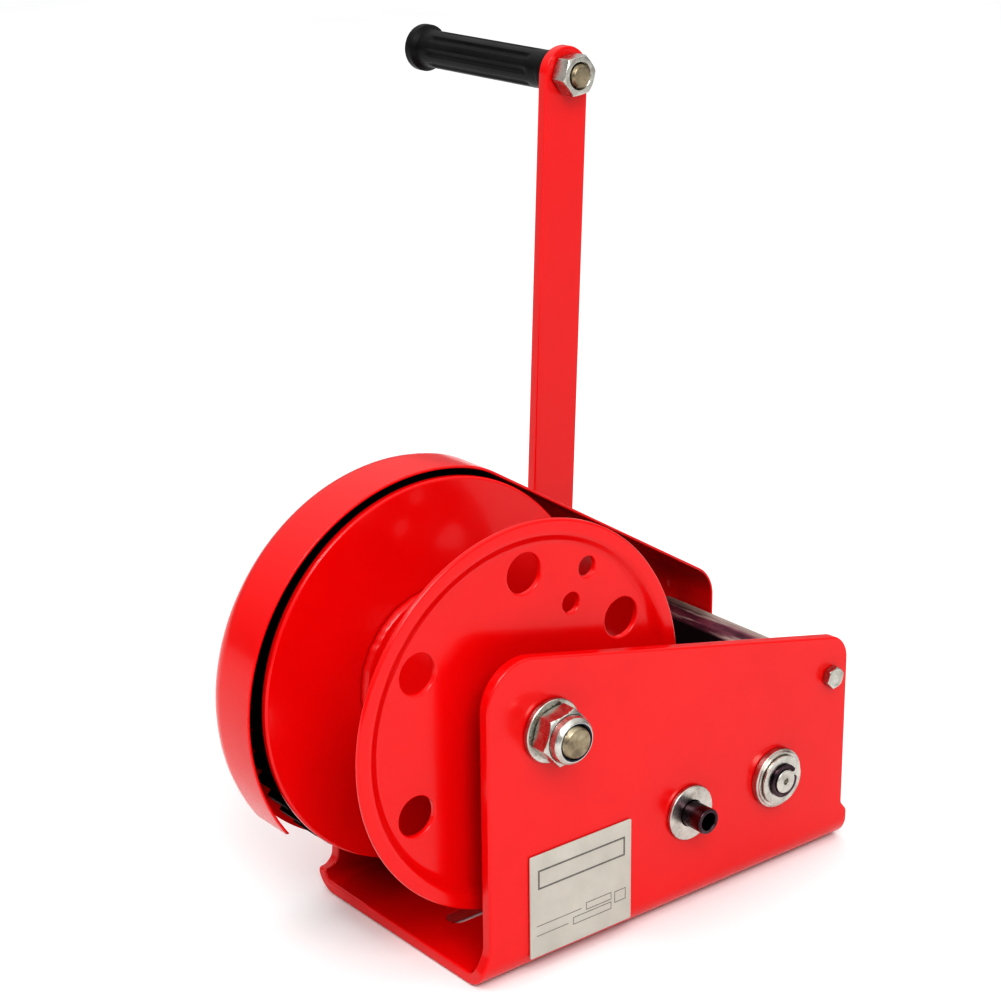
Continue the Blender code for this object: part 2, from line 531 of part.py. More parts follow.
def brake(looks, axis):
    """Load brake on the crank shaft: pressure flange, linings, ratchet wheel and threaded hub."""
    crank, wheel = axis["crank"], axis["ratchet"]
    bore = CRANK_R + GAP
    low = FAR_OUT - 3.3
    ring("brake_flange", looks["zinc"], crank, low - 5.0, low, bore, BRAKE_FLANGE_R, 0.5,
         DISC_STEPS)
    low -= 5.0 + GAP
    ring("brake_lining_inner", looks["lining"], wheel, low - LINING_T, low, LINING_BORE, LINING_R,
         0.0, DISC_STEPS)
    low -= LINING_T + GAP
    prism("ratchet_wheel", looks["black_steel"], wheel,
          [ratchet_outline(), circle((0.0, 0.0), bore)], low - RATCHET_T, low)
    ratchet = (low - RATCHET_T, low)
    low -= RATCHET_T + GAP
    ring("brake_lining_outer", looks["lining"], wheel, low - LINING_T, low, LINING_BORE, LINING_R,
         0.0, DISC_STEPS)
    low -= LINING_T + GAP
    turned("brake_hub", looks["zinc"], axis["handle"],
           [(ARM[1] + GAP, bore), (ARM[1] + GAP, HUB_R), (low - 5.0, HUB_R),
            (low - 5.0, LINING_R - 0.5), (low - 4.5, LINING_R), (low, LINING_R), (low, bore)],
           DISC_STEPS)
    return ratchet


def pawl(looks, axis, ratchet):
    """Pawl on its pin, held against the ratchet wheel by a torsion spring."""
    pin, arm = axis["pawl_pin"], axis["pawl"]
    nose = (-PAWL_PIVOT[0] - 0.5, RATCHET_ROOT_R + 0.9 - PAWL_PIVOT[1])
    outline = arc((0.0, 0.0), PAWL_BOSS_R, 70.0, 285.0, 9)
    outline += [(nose[0] - 17.0, nose[1] + 2.4), (nose[0] - 4.0, nose[1] + 0.5), nose,
                (nose[0] - 0.1, nose[1] + 7.0), (nose[0] - 8.0, nose[1] + 12.0)]
    prism("pawl", looks["zinc"], arm, [outline, circle((0.0, 0.0), PAWL_PIN_R + GAP, 16)],
          ratchet[0], ratchet[1])
    ring("pawl_spacer", looks["zinc"], pin, ratchet[1] + GAP, FAR_OUT - GAP, PAWL_PIN_R + GAP, 6.0,
         0.0, 20)
    out = ratchet[0] - GAP
    turned("pawl_pin", looks["zinc"], pin,
           [(out - 5.0, 0.0), (out - 5.0, 7.0), (out - 4.2, 7.8), (out - 0.4, 7.8), (out, 7.4),
            (out, PAWL_PIN_R), (FAR_IN - 0.6, PAWL_PIN_R), (FAR_IN - 0.6, 0.0)], 20)
    turns, wire, coil_r = 3.0, 0.7, 7.4
    first, last = FAR_OUT - 2.0, ratchet[1] + 2.2
    start, finish = 200.0, 200.0 - 360.0 * turns + 150.0
    steps = 10 * int(turns)
    path = []
    for i in range(steps + 1):
        share = i / steps
        y, z = polar(coil_r, start + (finish - start) * share)
        path.append(((first + (last - first) * share + X_SHIFT) * MM, y * MM, z * MM))
    y, z = polar(coil_r, start)
    path.insert(0, (path[0][0], (y - 3.0) * MM, (z + 14.0) * MM))
    y, z = polar(coil_r, finish)
    path.append((path[-1][0], (y + 14.0) * MM, (z + 1.0) * MM))
    line = bpy.data.curves.new("pawl_spring", "CURVE")
    line.dimensions, line.bevel_depth, line.bevel_resolution = "3D", wire * MM, 1
    line.use_fill_caps = True
    spline = line.splines.new("POLY")
    spline.points.add(len(path) - 1)
    for point, place in zip(spline.points, path):
        point.co = (*place, 1.0)
    line.materials.append(looks["zinc"])
    spring = bpy.data.objects.new("pawl_spring", line)
    bpy.context.scene.collection.objects.link(spring)
    spring.parent = pin


def crank(looks, axis):
    """Flat crank arm with its end nut on the shaft, and a free turning grip on a bolt."""
    handle, grip = axis["handle"], axis["grip"]
    tip = polar(ARM_LENGTH, 90.0 - ARM_LEAN)
    half = ARM_W / 2.0
    outline = arc(tip, half, -ARM_LEAN, 180.0 - ARM_LEAN, 14)
    outline += arc((0.0, 0.0), half, 180.0 - ARM_LEAN, 360.0 - ARM_LEAN, 14)
    loops = [outline, circle((0.0, 0.0), CRANK_R + GAP), circle(tip, GRIP_BOLT_R + GAP)]
    prism("crank_arm", looks["paint"], handle, loops, *ARM)
    end = ARM[0]
    ring("crank_end_washer", looks["zinc"], axis["crank"], end - 2.8, end - GAP, CRANK_R + GAP,
         13.0, 0.3)
    prism("crank_end_nut", looks["zinc"], axis["crank"],
          [hexagon(M16_FLATS), circle((0.0, 0.0), CRANK_R + GAP)], end - 12.5, end - 3.1)
    near = ARM[1]
    bore = GRIP_BOLT_R + GAP
    prism("grip_nut", looks["zinc"], axis["grip_seat"],
          [hexagon(M12_FLATS, phase=8.0), circle((0.0, 0.0), bore)], near + GAP, near + 10.3)
    turned("grip_bolt", looks["zinc"], axis["grip_seat"],
           [(GRIP_END - 4.5, 0.0), (GRIP_END - 4.5, 7.5), (GRIP_END - 3.5, 9.0),
            (GRIP_END - GAP, 9.0), (GRIP_END - GAP, GRIP_BOLT_R), (near + 11.0, GRIP_BOLT_R),
            (near + 12.0, GRIP_BOLT_R - 1.0), (near + 12.0, 0.0)], 24)
    start = ARM[0] - GAP
    turned("grip", looks["rubber"], grip,
           [(start, bore), (start, GRIP_COLLAR_R), (start - 6.0, GRIP_COLLAR_R),
            (start - 7.5, GRIP_R), (GRIP_END + 9.0, GRIP_R), (GRIP_END + 6.0, GRIP_FLANGE_R - 0.6),
            (GRIP_END + 4.5, GRIP_FLANGE_R), (GRIP_END + 1.0, GRIP_FLANGE_R),
            (GRIP_END, GRIP_FLANGE_R - 1.0), (GRIP_END, bore)], DISC_STEPS)


def hex_screw(name, look, parent, centre, head, stem_end):
    """Hex head between two X planes, with a plain stem that runs to stem_end."""
    made = prism(name, look, parent, [hexagon(M6_FLATS, centre, 15.0)], *head)
    inside = (head[0] + head[1]) / 2.0
    stem = prism("stem", None, parent, [circle(centre, M6_R, 12)], *sorted((inside, stem_end)))
    boolean(made, stem, "UNION")


def rear_brace(looks, root):
    """Angle across the rear between the uprights, held by screws tapped into its end tabs."""
    near_end, far_end = NEAR_IN - GAP, CASE_OUT + CASE_SKIN + GAP
    front, rear, top = BRACE_FRONT, BRACE_REAR, BRACE_TOP
    section = [(rear, top), (rear, top - BRACE_T), (front + BRACE_T, top - BRACE_T),
               (front + BRACE_T, top - BRACE_WEB), (front, top - BRACE_WEB), (front, top - 2.0),
               (front + 2.0, top)]
    body = prism("rear_brace", looks["black_steel"], root, [[at_drum(p) for p in section]],
                 far_end, near_end)
    for low, high, reach in ((near_end - BRACE_TAB_T, near_end, rear + 6.5),
                             (far_end, far_end + BRACE_TAB_T, rear)):
        tab = [(reach, top), (front, top), (front, top - 16.0), (reach, top - 16.0)]
        boolean(body, prism("tab", None, root, [[at_drum(p) for p in tab]], low, high), "UNION")
    for centre, span in ((BRACE_BOLT_NEAR, (near_end - 9.0, near_end + 5.0)),
                         (BRACE_BOLT_FAR, (far_end - 5.0, far_end + 9.0))):
        boolean(body, prism("hole_cut", None, root, [circle(at_drum(centre), M6_HOLE_R, 12)], *span),
                "DIFFERENCE")
    hex_screw("brace_screw_near", looks["zinc"], root, at_drum(BRACE_BOLT_NEAR), (GAP, GAP + M6_HEAD_H),
              near_end - 9.0)
    hex_screw("brace_screw_far", looks["zinc"], root, at_drum(BRACE_BOLT_FAR),
              (FAR_OUT - GAP - M6_HEAD_H, FAR_OUT - GAP), far_end + 9.0)
    for i, place in enumerate(CASE_SCREWS):
        hex_screw(f"case_screw_{i + 1}", looks["zinc"], root, at_drum(place),
                  (FAR_OUT - GAP - M6_HEAD_H, FAR_OUT - GAP), CASE_OUT + CASE_SKIN + 1.0)


def data_plate(looks, root):
    y, z = at_drum(PLATE_YZ)
    half_y, half_z = PLATE_SIZE[0] / 2.0, PLATE_SIZE[1] / 2.0
    corners = ((y - half_y, z - half_z, 1.0), (y + half_y, z - half_z, 1.0),
               (y + half_y, z + half_z, 1.0), (y - half_y, z + half_z, 1.0))
    prism("data_plate", looks["plate"], root, [rounded(corners, 3)], GAP, GAP + DATA_PLATE_T)


def main():
    clear_scene()
    looks = {
        "paint": material("red_paint", (0.78, 0.015, 0.012), 0.0, 0.3),
        "zinc": material("zinc", (0.72, 0.72, 0.7), 1.0, 0.3),
        "black_steel": material("black_steel", (0.05, 0.05, 0.055), 0.6, 0.45),
        "bronze": material("bronze", (0.55, 0.36, 0.16), 1.0, 0.4),
        "lining": material("lining", (0.12, 0.1, 0.085), 0.0, 0.8),
        "rubber": material("black_rubber", (0.018, 0.018, 0.02), 0.0, 0.5),
        "plate": material("data_plate", (0.85, 0.83, 0.76), 0.0, 0.4),
    }
    root = joint_axis("root_axis", ROOT_AXIS)
    axis = {"axle": joint_axis("axle_axis", DRUM_AXIS), "drum": joint_axis("drum_axis", DRUM_AXIS)}
    for name, place in (("mid", MID_AXIS), ("crank", CRANK_AXIS), ("pawl", PAWL_AXIS)):
        axis[name] = joint_axis(f"{name}_axis", place)
    axis["mid_seat"] = joint_axis("mid_seat_axis", MID_AXIS)
    axis["crank_seat"] = joint_axis("crank_seat_axis", CRANK_AXIS)
    axis["ratchet"] = joint_axis("ratchet_axis", CRANK_AXIS)
    axis["pawl_pin"] = joint_axis("pawl_pin_axis", PAWL_AXIS)
    axis["handle"] = joint_axis("handle_axis", CRANK_AXIS, axis["crank"])
    axis["grip_seat"] = joint_axis("grip_seat_axis", GRIP_AXIS, axis["handle"])
    axis["grip"] = joint_axis("grip_axis", GRIP_AXIS, axis["handle"])
    base_frame(looks["paint"], root)
    gear_case(looks["paint"], root)
    face = drum(looks, axis["drum"])
    drum_support(looks, axis, face)
    shafts(looks, axis)
    ratchet = brake(looks, axis)
    pawl(looks, axis, ratchet)
    crank(looks, axis)
    rear_brace(looks, root)
    data_plate(looks, root)


main()
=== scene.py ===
"""Geared hand brake winch: visible pieces, materials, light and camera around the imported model.

Shapes are in millimetres inside the functions and in metres in the scene. X runs along the
shafts: +X is the side with the data plate, -X the side with the gears, brake and crank.
"""
import json
import math

import bmesh
import bpy
from mathutils import Matrix, Vector, noise
from mathutils.geometry import tessellate_polygon

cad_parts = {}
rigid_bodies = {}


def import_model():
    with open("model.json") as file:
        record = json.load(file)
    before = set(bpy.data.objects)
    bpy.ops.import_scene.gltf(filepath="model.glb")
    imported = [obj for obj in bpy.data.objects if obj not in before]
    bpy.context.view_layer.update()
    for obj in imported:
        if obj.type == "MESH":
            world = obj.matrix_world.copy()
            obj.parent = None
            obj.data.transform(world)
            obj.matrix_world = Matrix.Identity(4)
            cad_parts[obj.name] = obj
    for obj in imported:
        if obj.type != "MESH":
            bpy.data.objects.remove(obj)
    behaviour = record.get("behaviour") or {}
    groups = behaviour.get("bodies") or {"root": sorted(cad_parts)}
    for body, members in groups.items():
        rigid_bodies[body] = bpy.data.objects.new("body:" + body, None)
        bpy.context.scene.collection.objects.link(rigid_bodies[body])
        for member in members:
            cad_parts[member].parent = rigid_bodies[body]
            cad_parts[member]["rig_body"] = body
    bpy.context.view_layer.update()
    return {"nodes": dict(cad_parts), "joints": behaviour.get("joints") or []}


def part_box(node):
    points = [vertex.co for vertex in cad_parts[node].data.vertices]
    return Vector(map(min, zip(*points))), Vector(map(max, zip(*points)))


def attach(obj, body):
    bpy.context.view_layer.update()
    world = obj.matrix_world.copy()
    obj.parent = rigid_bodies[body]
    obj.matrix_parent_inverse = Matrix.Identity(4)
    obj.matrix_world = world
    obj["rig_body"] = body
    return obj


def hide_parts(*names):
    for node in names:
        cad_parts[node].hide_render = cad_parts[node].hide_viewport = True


MM = 0.001
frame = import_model()


def pivot(joint):
    """A joint's axis, as (Y, Z)."""
    place = next(j for j in frame["joints"] if j["name"] == joint)["pos_m"]
    return (place[1] / MM, place[2] / MM)


def span(node):
    """A node's lowest and highest X."""
    low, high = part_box(node)
    return low.x / MM, high.x / MM


DRUM, MID, CRANK = pivot("drum_spin"), pivot("intermediate_spin"), pivot("crank_spin")
GRIP, PAWL = pivot("grip_spin"), pivot("pawl_swing")

# ---------------------------------------------------------------- materials


class Nodes:
    """Small builder for a node material around its Principled shader."""

    def __init__(self, name):
        self.material = bpy.data.materials.new(name)
        self.material.use_nodes = True
        self.tree = self.material.node_tree
        self.shader = self.tree.nodes["Principled BSDF"]
        self.place = self.add("ShaderNodeTexCoord").outputs["Object"]

    def add(self, kind, **values):
        node = self.tree.nodes.new(kind)
        for key, value in values.items():
            setattr(node, key, value)
        return node

    def link(self, source, target):
        self.tree.links.new(source, target)

    def set(self, **values):
        for key, value in values.items():
            self.shader.inputs[key.replace("_", " ")].default_value = value

    def noise(self, scale, detail=3.0, stretch=(1.0, 1.0, 1.0), rough=0.55):
        """Noise with `scale` grains to the metre, stretched along the axes."""
        mapping = self.add("ShaderNodeMapping")
        mapping.inputs["Scale"].default_value = stretch
        self.link(self.place, mapping.inputs["Vector"])
        made = self.add("ShaderNodeTexNoise")
        made.inputs["Scale"].default_value = scale
        made.inputs["Detail"].default_value = detail
        made.inputs["Roughness"].default_value = rough
        self.link(mapping.outputs["Vector"], made.inputs["Vector"])
        return made.outputs["Fac"]

    def ramp(self, source, stops):
        """Colour picked along stops, pairs of (position, colour), by source."""
        made = self.add("ShaderNodeValToRGB")
        points = made.color_ramp.elements
        while len(points) < len(stops):
            points.new(0.5)
        for point, (position, colour) in zip(points, stops):
            point.position = position
            point.color = (*colour, 1.0)
        self.link(source, made.inputs["Fac"])
        return made.outputs["Color"]

    def between(self, source, low, high, start=0.3, end=0.7):
        """Value from low to high as source goes from start to end."""
        made = self.add("ShaderNodeMapRange")
        for key, value in (("From Min", start), ("From Max", end), ("To Min", low),
                           ("To Max", high)):
            made.inputs[key].default_value = value
        self.link(source, made.inputs["Value"])
        return made.outputs["Result"]

    def math(self, operation, first, second=0.0):
        made = self.add("ShaderNodeMath", operation=operation)
        for socket, value in zip(made.inputs, (first, second)):
            if isinstance(value, (int, float)):
                socket.default_value = value
            else:
                self.link(value, socket)
        return made.outputs["Value"]

    def mix(self, share, first, second):
        """Colour from first to second as share goes from 0 to 1."""
        made = self.add("ShaderNodeMix", data_type="RGBA")
        self.link(share, made.inputs["Factor"])
        for key, value in (("A", first), ("B", second)):
            socket = next(s for s in made.inputs if s.name == key and s.type == "RGBA")
            if isinstance(value, tuple):
                socket.default_value = (*value, 1.0)
            else:
                self.link(value, socket)
        return next(s for s in made.outputs if s.type == "RGBA")

    def bump(self, height, strength, distance, below=None):
        made = self.add("ShaderNodeBump")
        made.inputs["Strength"].default_value = strength
        made.inputs["Distance"].default_value = distance
        self.link(height, made.inputs["Height"])
        if below is not None:
            self.link(below, made.inputs["Normal"])
        return made.outputs["Normal"]

    def finish(self, colour=None, roughness=None, normal=None):
        for key, source in (("Base Color", colour), ("Roughness", roughness), ("Normal", normal)):
            if source is not None:
                self.link(source, self.shader.inputs[key])
        return self.material


RED = 0.62      # the enamel's red channel


def red_enamel():
    """Glossy sprayed enamel: slight orange peel, faint cloudiness and a few specks of dust."""
    n = Nodes("red_enamel")
    n.set(Metallic=0.0, IOR=1.42, Coat_Weight=0.2, Coat_Roughness=0.06)
    cloud = n.noise(22.0, 4.0)
    speck = n.noise(900.0, 2.0)
    colour = n.mix(n.between(cloud, 0.0, 1.0, 0.25, 0.75), (RED, 0.0015, 0.0025),
                   (RED + 0.05, 0.0030, 0.0045))
    colour = n.mix(n.between(speck, 0.0, 0.45, 0.70, 0.78), colour, (0.62, 0.004, 0.006))
    peel = n.bump(n.noise(420.0, 2.0), 0.10, 0.0004)
    dust = n.bump(n.between(speck, 0.0, 1.0, 0.72, 0.80), 0.16, 0.0002, peel)
    return n.finish(colour, n.between(n.noise(60.0, 5.0), 0.17, 0.27), dust)


def plated(name, tones, rough, rings=True):
    """Plated or ground metal: cloudy tint, stains, fine lathe rings or drawn lines."""
    n = Nodes(name)
    n.set(Metallic=1.0)
    cloud = n.noise(140.0, 5.0)
    stain = n.noise(420.0, 4.0)
    colour = n.ramp(cloud, [(0.30 + 0.4 * i / (len(tones) - 1), tone)
                            for i, tone in enumerate(tones)])
    colour = n.mix(n.between(stain, 0.0, 0.5, 0.62, 0.74), colour,
                   tuple(0.45 * channel for channel in tones[0]))
    if rings:
        wave = n.add("ShaderNodeTexWave", wave_type="RINGS", rings_direction="X")
        for key, value in (("Scale", 260.0), ("Distortion", 1.6), ("Detail", 2.0),
                           ("Detail Scale", 1.5)):
            wave.inputs[key].default_value = value
        n.link(n.place, wave.inputs["Vector"])
        lines = wave.outputs["Fac"]
    else:
        lines = n.noise(700.0, 2.0, (0.08, 1.0, 1.0))
    normal = n.bump(n.noise(1300.0, 2.0), 0.12, 0.0002, n.bump(lines, 0.05, 0.0002))
    return n.finish(colour, n.between(n.noise(300.0, 4.0), *rough), normal)


def grip_plastic():
    """Satin black moulded plastic: leathery grain, polished where a hand rubs it."""
    n = Nodes("grip_plastic")
    n.set(Metallic=0.0, IOR=1.27)
    grain = n.add("ShaderNodeTexVoronoi", feature="SMOOTH_F1")
    grain.inputs["Scale"].default_value = 900.0
    n.link(n.place, grain.inputs["Vector"])
    colour = n.ramp(n.noise(90.0, 5.0), [(0.3, (0.005, 0.005, 0.006)), (0.7, (0.012, 0.011, 0.012))])
    normal = n.bump(grain.outputs["Distance"], 0.22, 0.0003, n.bump(n.noise(160.0, 3.0), 0.1, 0.0005))
    return n.finish(colour, n.between(n.noise(45.0, 4.0), 0.30, 0.46), normal)


def brake_facing():
    """Pressed friction lining: brown-black binder with short bright fibres."""
    n = Nodes("brake_facing")
    n.set(Metallic=0.0, IOR=1.45)
    fibre = n.noise(1500.0, 2.0, (0.25, 1.0, 1.0))
    colour = n.ramp(n.noise(500.0, 5.0), [(0.3, (0.030, 0.024, 0.018)), (0.7, (0.105, 0.080, 0.055))])
    colour = n.mix(n.between(fibre, 0.0, 0.8, 0.66, 0.74), colour, (0.34, 0.25, 0.13))
    return n.finish(colour, n.between(fibre, 0.95, 0.65), n.bump(fibre, 0.5, 0.0004))


def gear_painted_shade():
    """Near-black, dull, barely reflective teeth: painted shade that sinks the gears into the dark inside
    the case, patchy from place to place.
    """
    n = Nodes("gear_painted_shade")
    n.set(Metallic=0.0, IOR=1.14)
    patchy_tone = n.noise(260.0, 5.0)
    colour = n.ramp(patchy_tone, [(0.3, (0.0015, 0.0012, 0.0012)), (0.7, (0.0060, 0.0045, 0.0040))])
    return n.finish(colour, n.between(patchy_tone, 0.45, 0.65), n.bump(patchy_tone, 0.3, 0.0004))


def nylon():
    """Dark blue moulded nylon, the locking insert of the axle's nut."""
    n = Nodes("blue_nylon")
    n.set(Metallic=0.0, IOR=1.53)
    colour = n.ramp(n.noise(500.0, 3.0), [(0.3, (0.006, 0.010, 0.035)), (0.7, (0.014, 0.028, 0.085))])
    return n.finish(colour, n.between(n.noise(800.0, 3.0), 0.28, 0.42),
                    n.bump(n.noise(1200.0, 2.0), 0.1, 0.0002))


def scaled_steel(node):
    """Dark mill steel: purple-brown scale with rubbed grey patches, lighter grey towards the rear (bare
    metal with a painted reflection of the bright surroundings), and the web below the top face painted
    near-black as painted shade.
    """
    n = Nodes("scaled_steel")
    n.set(Metallic=0.15, IOR=1.20)
    turn = frame["nodes"][node].matrix_world.inverted()
    low, high = (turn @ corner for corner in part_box(node))
    split = n.add("ShaderNodeSeparateXYZ")
    n.link(n.place, split.inputs["Vector"])
    scale = n.noise(95.0, 6.0, (0.35, 1.0, 1.0), 0.65)
    colour = n.ramp(scale, [(0.26, (0.022, 0.010, 0.016)), (0.45, (0.090, 0.024, 0.040)),
                            (0.60, (0.170, 0.050, 0.072)), (0.76, (0.380, 0.230, 0.230))])
    rub = n.between(n.noise(260.0, 5.0, (0.12, 1.0, 1.0)), 0.0, 0.7, 0.54, 0.70)
    colour = n.mix(rub, colour, (0.52, 0.46, 0.40))
    # Lighter grey towards the rear: bare metal with a painted reflection of the bright surroundings,
    # broken up by noise.
    rear_wear_and_sheen = n.between(split.outputs["Y"], 0.0, 1.0, low.y + 0.010, high.y - 0.005)
    rear_wear_and_sheen = n.math("MULTIPLY", rear_wear_and_sheen, n.between(n.noise(180.0, 4.0, (0.3, 1.0, 1.0)), 0.6, 1.0))
    colour = n.mix(rear_wear_and_sheen, colour, (0.50, 0.47, 0.40))
    # Painted shade: the web, everything more than 1 to 2.5 mm below the top face, is painted near-black.
    shaded_web = n.between(split.outputs["Z"], 1.0, 0.0, high.z - 0.0025, high.z - 0.0010)
    colour = n.mix(shaded_web, colour, (0.016, 0.012, 0.015))
    return n.finish(colour, n.between(scale, 0.62, 0.40), n.bump(scale, 0.25, 0.0006))


def plate_print(node):
    """Off-white printed plate with ruled boxes and lines only; the print lies in the plate's YZ."""
    n = Nodes("printed_plate")
    n.set(Metallic=0.0, IOR=1.46)
    low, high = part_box(node)
    split = n.add("ShaderNodeSeparateXYZ")
    n.link(n.place, split.inputs["Vector"])

    def share(axis, start, end):
        return n.between(split.outputs[axis], 0.0, 1.0, start, end)

    across, up = share("Y", low.y, high.y), share("Z", low.z, high.z)

    def inside(value, start, end):
        return n.math("MULTIPLY", n.math("GREATER_THAN", value, start),
                      n.math("LESS_THAN", value, end))

    def filled(left, right, bottom, top):
        return n.math("MULTIPLY", inside(across, left, right), inside(up, bottom, top))

    def boxed(left, right, bottom, top, line=0.0070):
        tall = line * (high.y - low.y) / (high.z - low.z)
        inner = filled(left + line, right - line, bottom + tall, top - tall)
        return n.math("SUBTRACT", filled(left, right, bottom, top), inner)

    marks = [boxed(0.545, 0.800, 0.270, 0.345), boxed(0.415, 0.800, 0.175, 0.250),
             boxed(0.830, 0.945, 0.220, 0.335), boxed(0.075, 0.935, 0.660, 0.850, 0.016)]
    for left, right, level in ((0.06, 0.50, 0.300), (0.06, 0.37, 0.205)):
        marks.append(filled(left, right, level, level + 0.008))
    ink = marks[0]
    for mark in marks[1:]:
        ink = n.math("MAXIMUM", ink, mark)
    uneven = n.between(n.noise(2500.0, 2.0), 0.65, 0.95)
    paper = n.ramp(n.noise(70.0, 5.0), [(0.3, (0.42, 0.40, 0.355)), (0.7, (0.48, 0.46, 0.41))])
    colour = n.mix(n.math("MULTIPLY", ink, uneven), paper, (0.050, 0.048, 0.046))
    return n.finish(colour, n.between(n.noise(200.0, 4.0), 0.34, 0.50),
                    n.bump(n.noise(600.0, 3.0), 0.06, 0.0003))


ZINC = ((0.36, 0.34, 0.30), (0.52, 0.51, 0.47), (0.62, 0.61, 0.56))
LOOKS = {   # look: (material, the record's material slot)
    "paint": (red_enamel(), "red_paint"),
    "zinc": (plated("zinc_plating", ZINC, (0.20, 0.36)), "zinc_plate"),
    "zinc_flat": (plated("zinc_drawn", ZINC, (0.22, 0.38), rings=False), "zinc_plate"),
    "bolt_end": (plated("cut_bolt_end", ((0.17, 0.14, 0.10), (0.31, 0.26, 0.18), (0.42, 0.37, 0.27)),
                        (0.28, 0.42)), "zinc_plate"),
    "black": (plated("black_oxide", ((0.028, 0.018, 0.024), (0.070, 0.046, 0.056),
                                     (0.125, 0.090, 0.100)), (0.14, 0.30)), "black_steel"),
    # near-black painted shade for the gears inside the case
    "painted_dark": (gear_painted_shade(), "black_steel"),
    "scaled": (scaled_steel("rear_brace"), "black_steel"),
    "bronze": (plated("sintered_bronze", ((0.34, 0.20, 0.08), (0.55, 0.36, 0.16),
                                          (0.62, 0.44, 0.22)), (0.32, 0.50)), "bronze"),
    "lining": (brake_facing(), "brake_lining"),
    "grip": (grip_plastic(), "black_grip"),
    "nylon": (nylon(), "black_grip"),
    "plate": (plate_print("data_plate"), "data_plate"),
}
SLOT_LOOK = {"red_paint": "paint", "zinc_plate": "zinc", "black_steel": "black", "bronze": "bronze",
             "brake_lining": "lining", "black_grip": "grip", "data_plate": "plate"}

# ---------------------------------------------------------------- shapes


def polar(radius, degrees, centre=(0.0, 0.0)):
    angle = math.radians(degrees)
    return (centre[0] + radius * math.cos(angle), centre[1] + radius * math.sin(angle))


def arc(centre, radius, start, end, steps):
    return [polar(radius, start + (end - start) * i / steps, centre) for i in range(steps + 1)]


def circle(centre, radius, steps=48):
    return [polar(radius, 360.0 * i / steps, centre) for i in range(steps)]


def rounded(corners, steps=10, closed=True):
    """Line through corners (u, v, radius), with each corner rounded by an arc."""
    points, count = [], len(corners)
    for i, (u, v, radius) in enumerate(corners):
        here = Vector((u, v))
        if radius <= 0.0 or (not closed and i in (0, count - 1)):
            points.append((u, v))
            continue
        before = (Vector(corners[i - 1][:2]) - here).normalized()
        after = (Vector(corners[(i + 1) % count][:2]) - here).normalized()
        half = before.angle(after) / 2.0
        centre = here + (before + after).normalized() * (radius / math.sin(half))
        first = here + before * (radius / math.tan(half)) - centre
        turn = first.angle_signed(here + after * (radius / math.tan(half)) - centre)
        start = math.atan2(first.y, first.x)
        points += [polar(radius, math.degrees(start - turn * k / steps), centre)
                   for k in range(steps + 1)]
    return points


def anticlockwise(loop):
    area = sum(loop[i - 1][0] * loop[i][1] - loop[i][0] * loop[i - 1][1] for i in range(len(loop)))
    return loop if area > 0.0 else loop[::-1]


def offset(loop, distance):
    """Loop moved outward by distance, with mitred corners. It runs anticlockwise."""
    moved, count = [], len(loop)
    for i, (u, v) in enumerate(loop):
        here = Vector((u, v))
        a = (here - Vector(loop[i - 1])).normalized()
        b = (Vector(loop[(i + 1) % count]) - here).normalized()
        normal_a, normal_b = Vector((a.y, -a.x)), Vector((b.y, -b.x))
        middle = (normal_a + normal_b).normalized()
        moved.append(tuple(here + middle * (distance / max(0.4, middle.dot(normal_a)))))
    return moved


def edge(low, high, radius=0.7, steps=3):
    """Section of a plate's edge with both corners rounded: (outward, along) from high to low."""
    upper = [(radius * (math.sin(a) - 1.0), high + radius * (math.cos(a) - 1.0))
             for a in (math.pi / 2.0 * i / steps for i in range(steps + 1))]
    return upper + [(out, low + high - along) for out, along in upper[::-1]]


def slab_mesh(loops, sections, place):
    """Closed plate: loops[0] is its outside and the others are holes. Each loop has a section,
    a line of (outward, along) from the first cap to the last, with outward away from material."""
    bm = bmesh.new()
    columns = []
    for i, (loop, section) in enumerate(zip(loops, sections)):
        loop, sign = anticlockwise(loop), 1.0 if i == 0 else -1.0
        rows = []
        for outward, along in section:
            rows.append([(u, v, along) for u, v in offset(loop, sign * outward)])
        columns.append([[bm.verts.new(place(*point)) for point in row] for row in rows])
        columns[-1].append(rows)
    for level, vert_level in ((0, 0), (-1, -2)):
        flat = [v for column in columns for v in column[vert_level]]
        outline = [[Vector((u, v, 0.0)) for u, v, w in column[-1][level]] for column in columns]
        for triangle in tessellate_polygon(outline):
            bm.faces.new([flat[i] for i in triangle])
    for column in columns:
        rings = column[:-1]
        for one, two in zip(rings, rings[1:]):
            for i in range(len(one)):
                j = (i + 1) % len(one)
                bm.faces.new((one[i], one[j], two[j], two[i]))
    return bm


def skin_mesh(rings, closed):
    """Surface over rings of points. A ring of one point is a pole. closed joins last to first."""
    bm = bmesh.new()
    rows = [[bm.verts.new(point) for point in ring] for ring in rings]
    pairs = list(zip(rows, rows[1:])) + ([(rows[-1], rows[0])] if closed else [])
    for one, two in pairs:
        count = max(len(one), len(two))
        for i in range(count):
            j = (i + 1) % count
            if len(one) == 1:
                bm.faces.new((one[0], two[j], two[i]))
            elif len(two) == 1:
                bm.faces.new((one[i], one[j], two[0]))
            else:
                bm.faces.new((one[i], one[j], two[j], two[i]))
    return bm


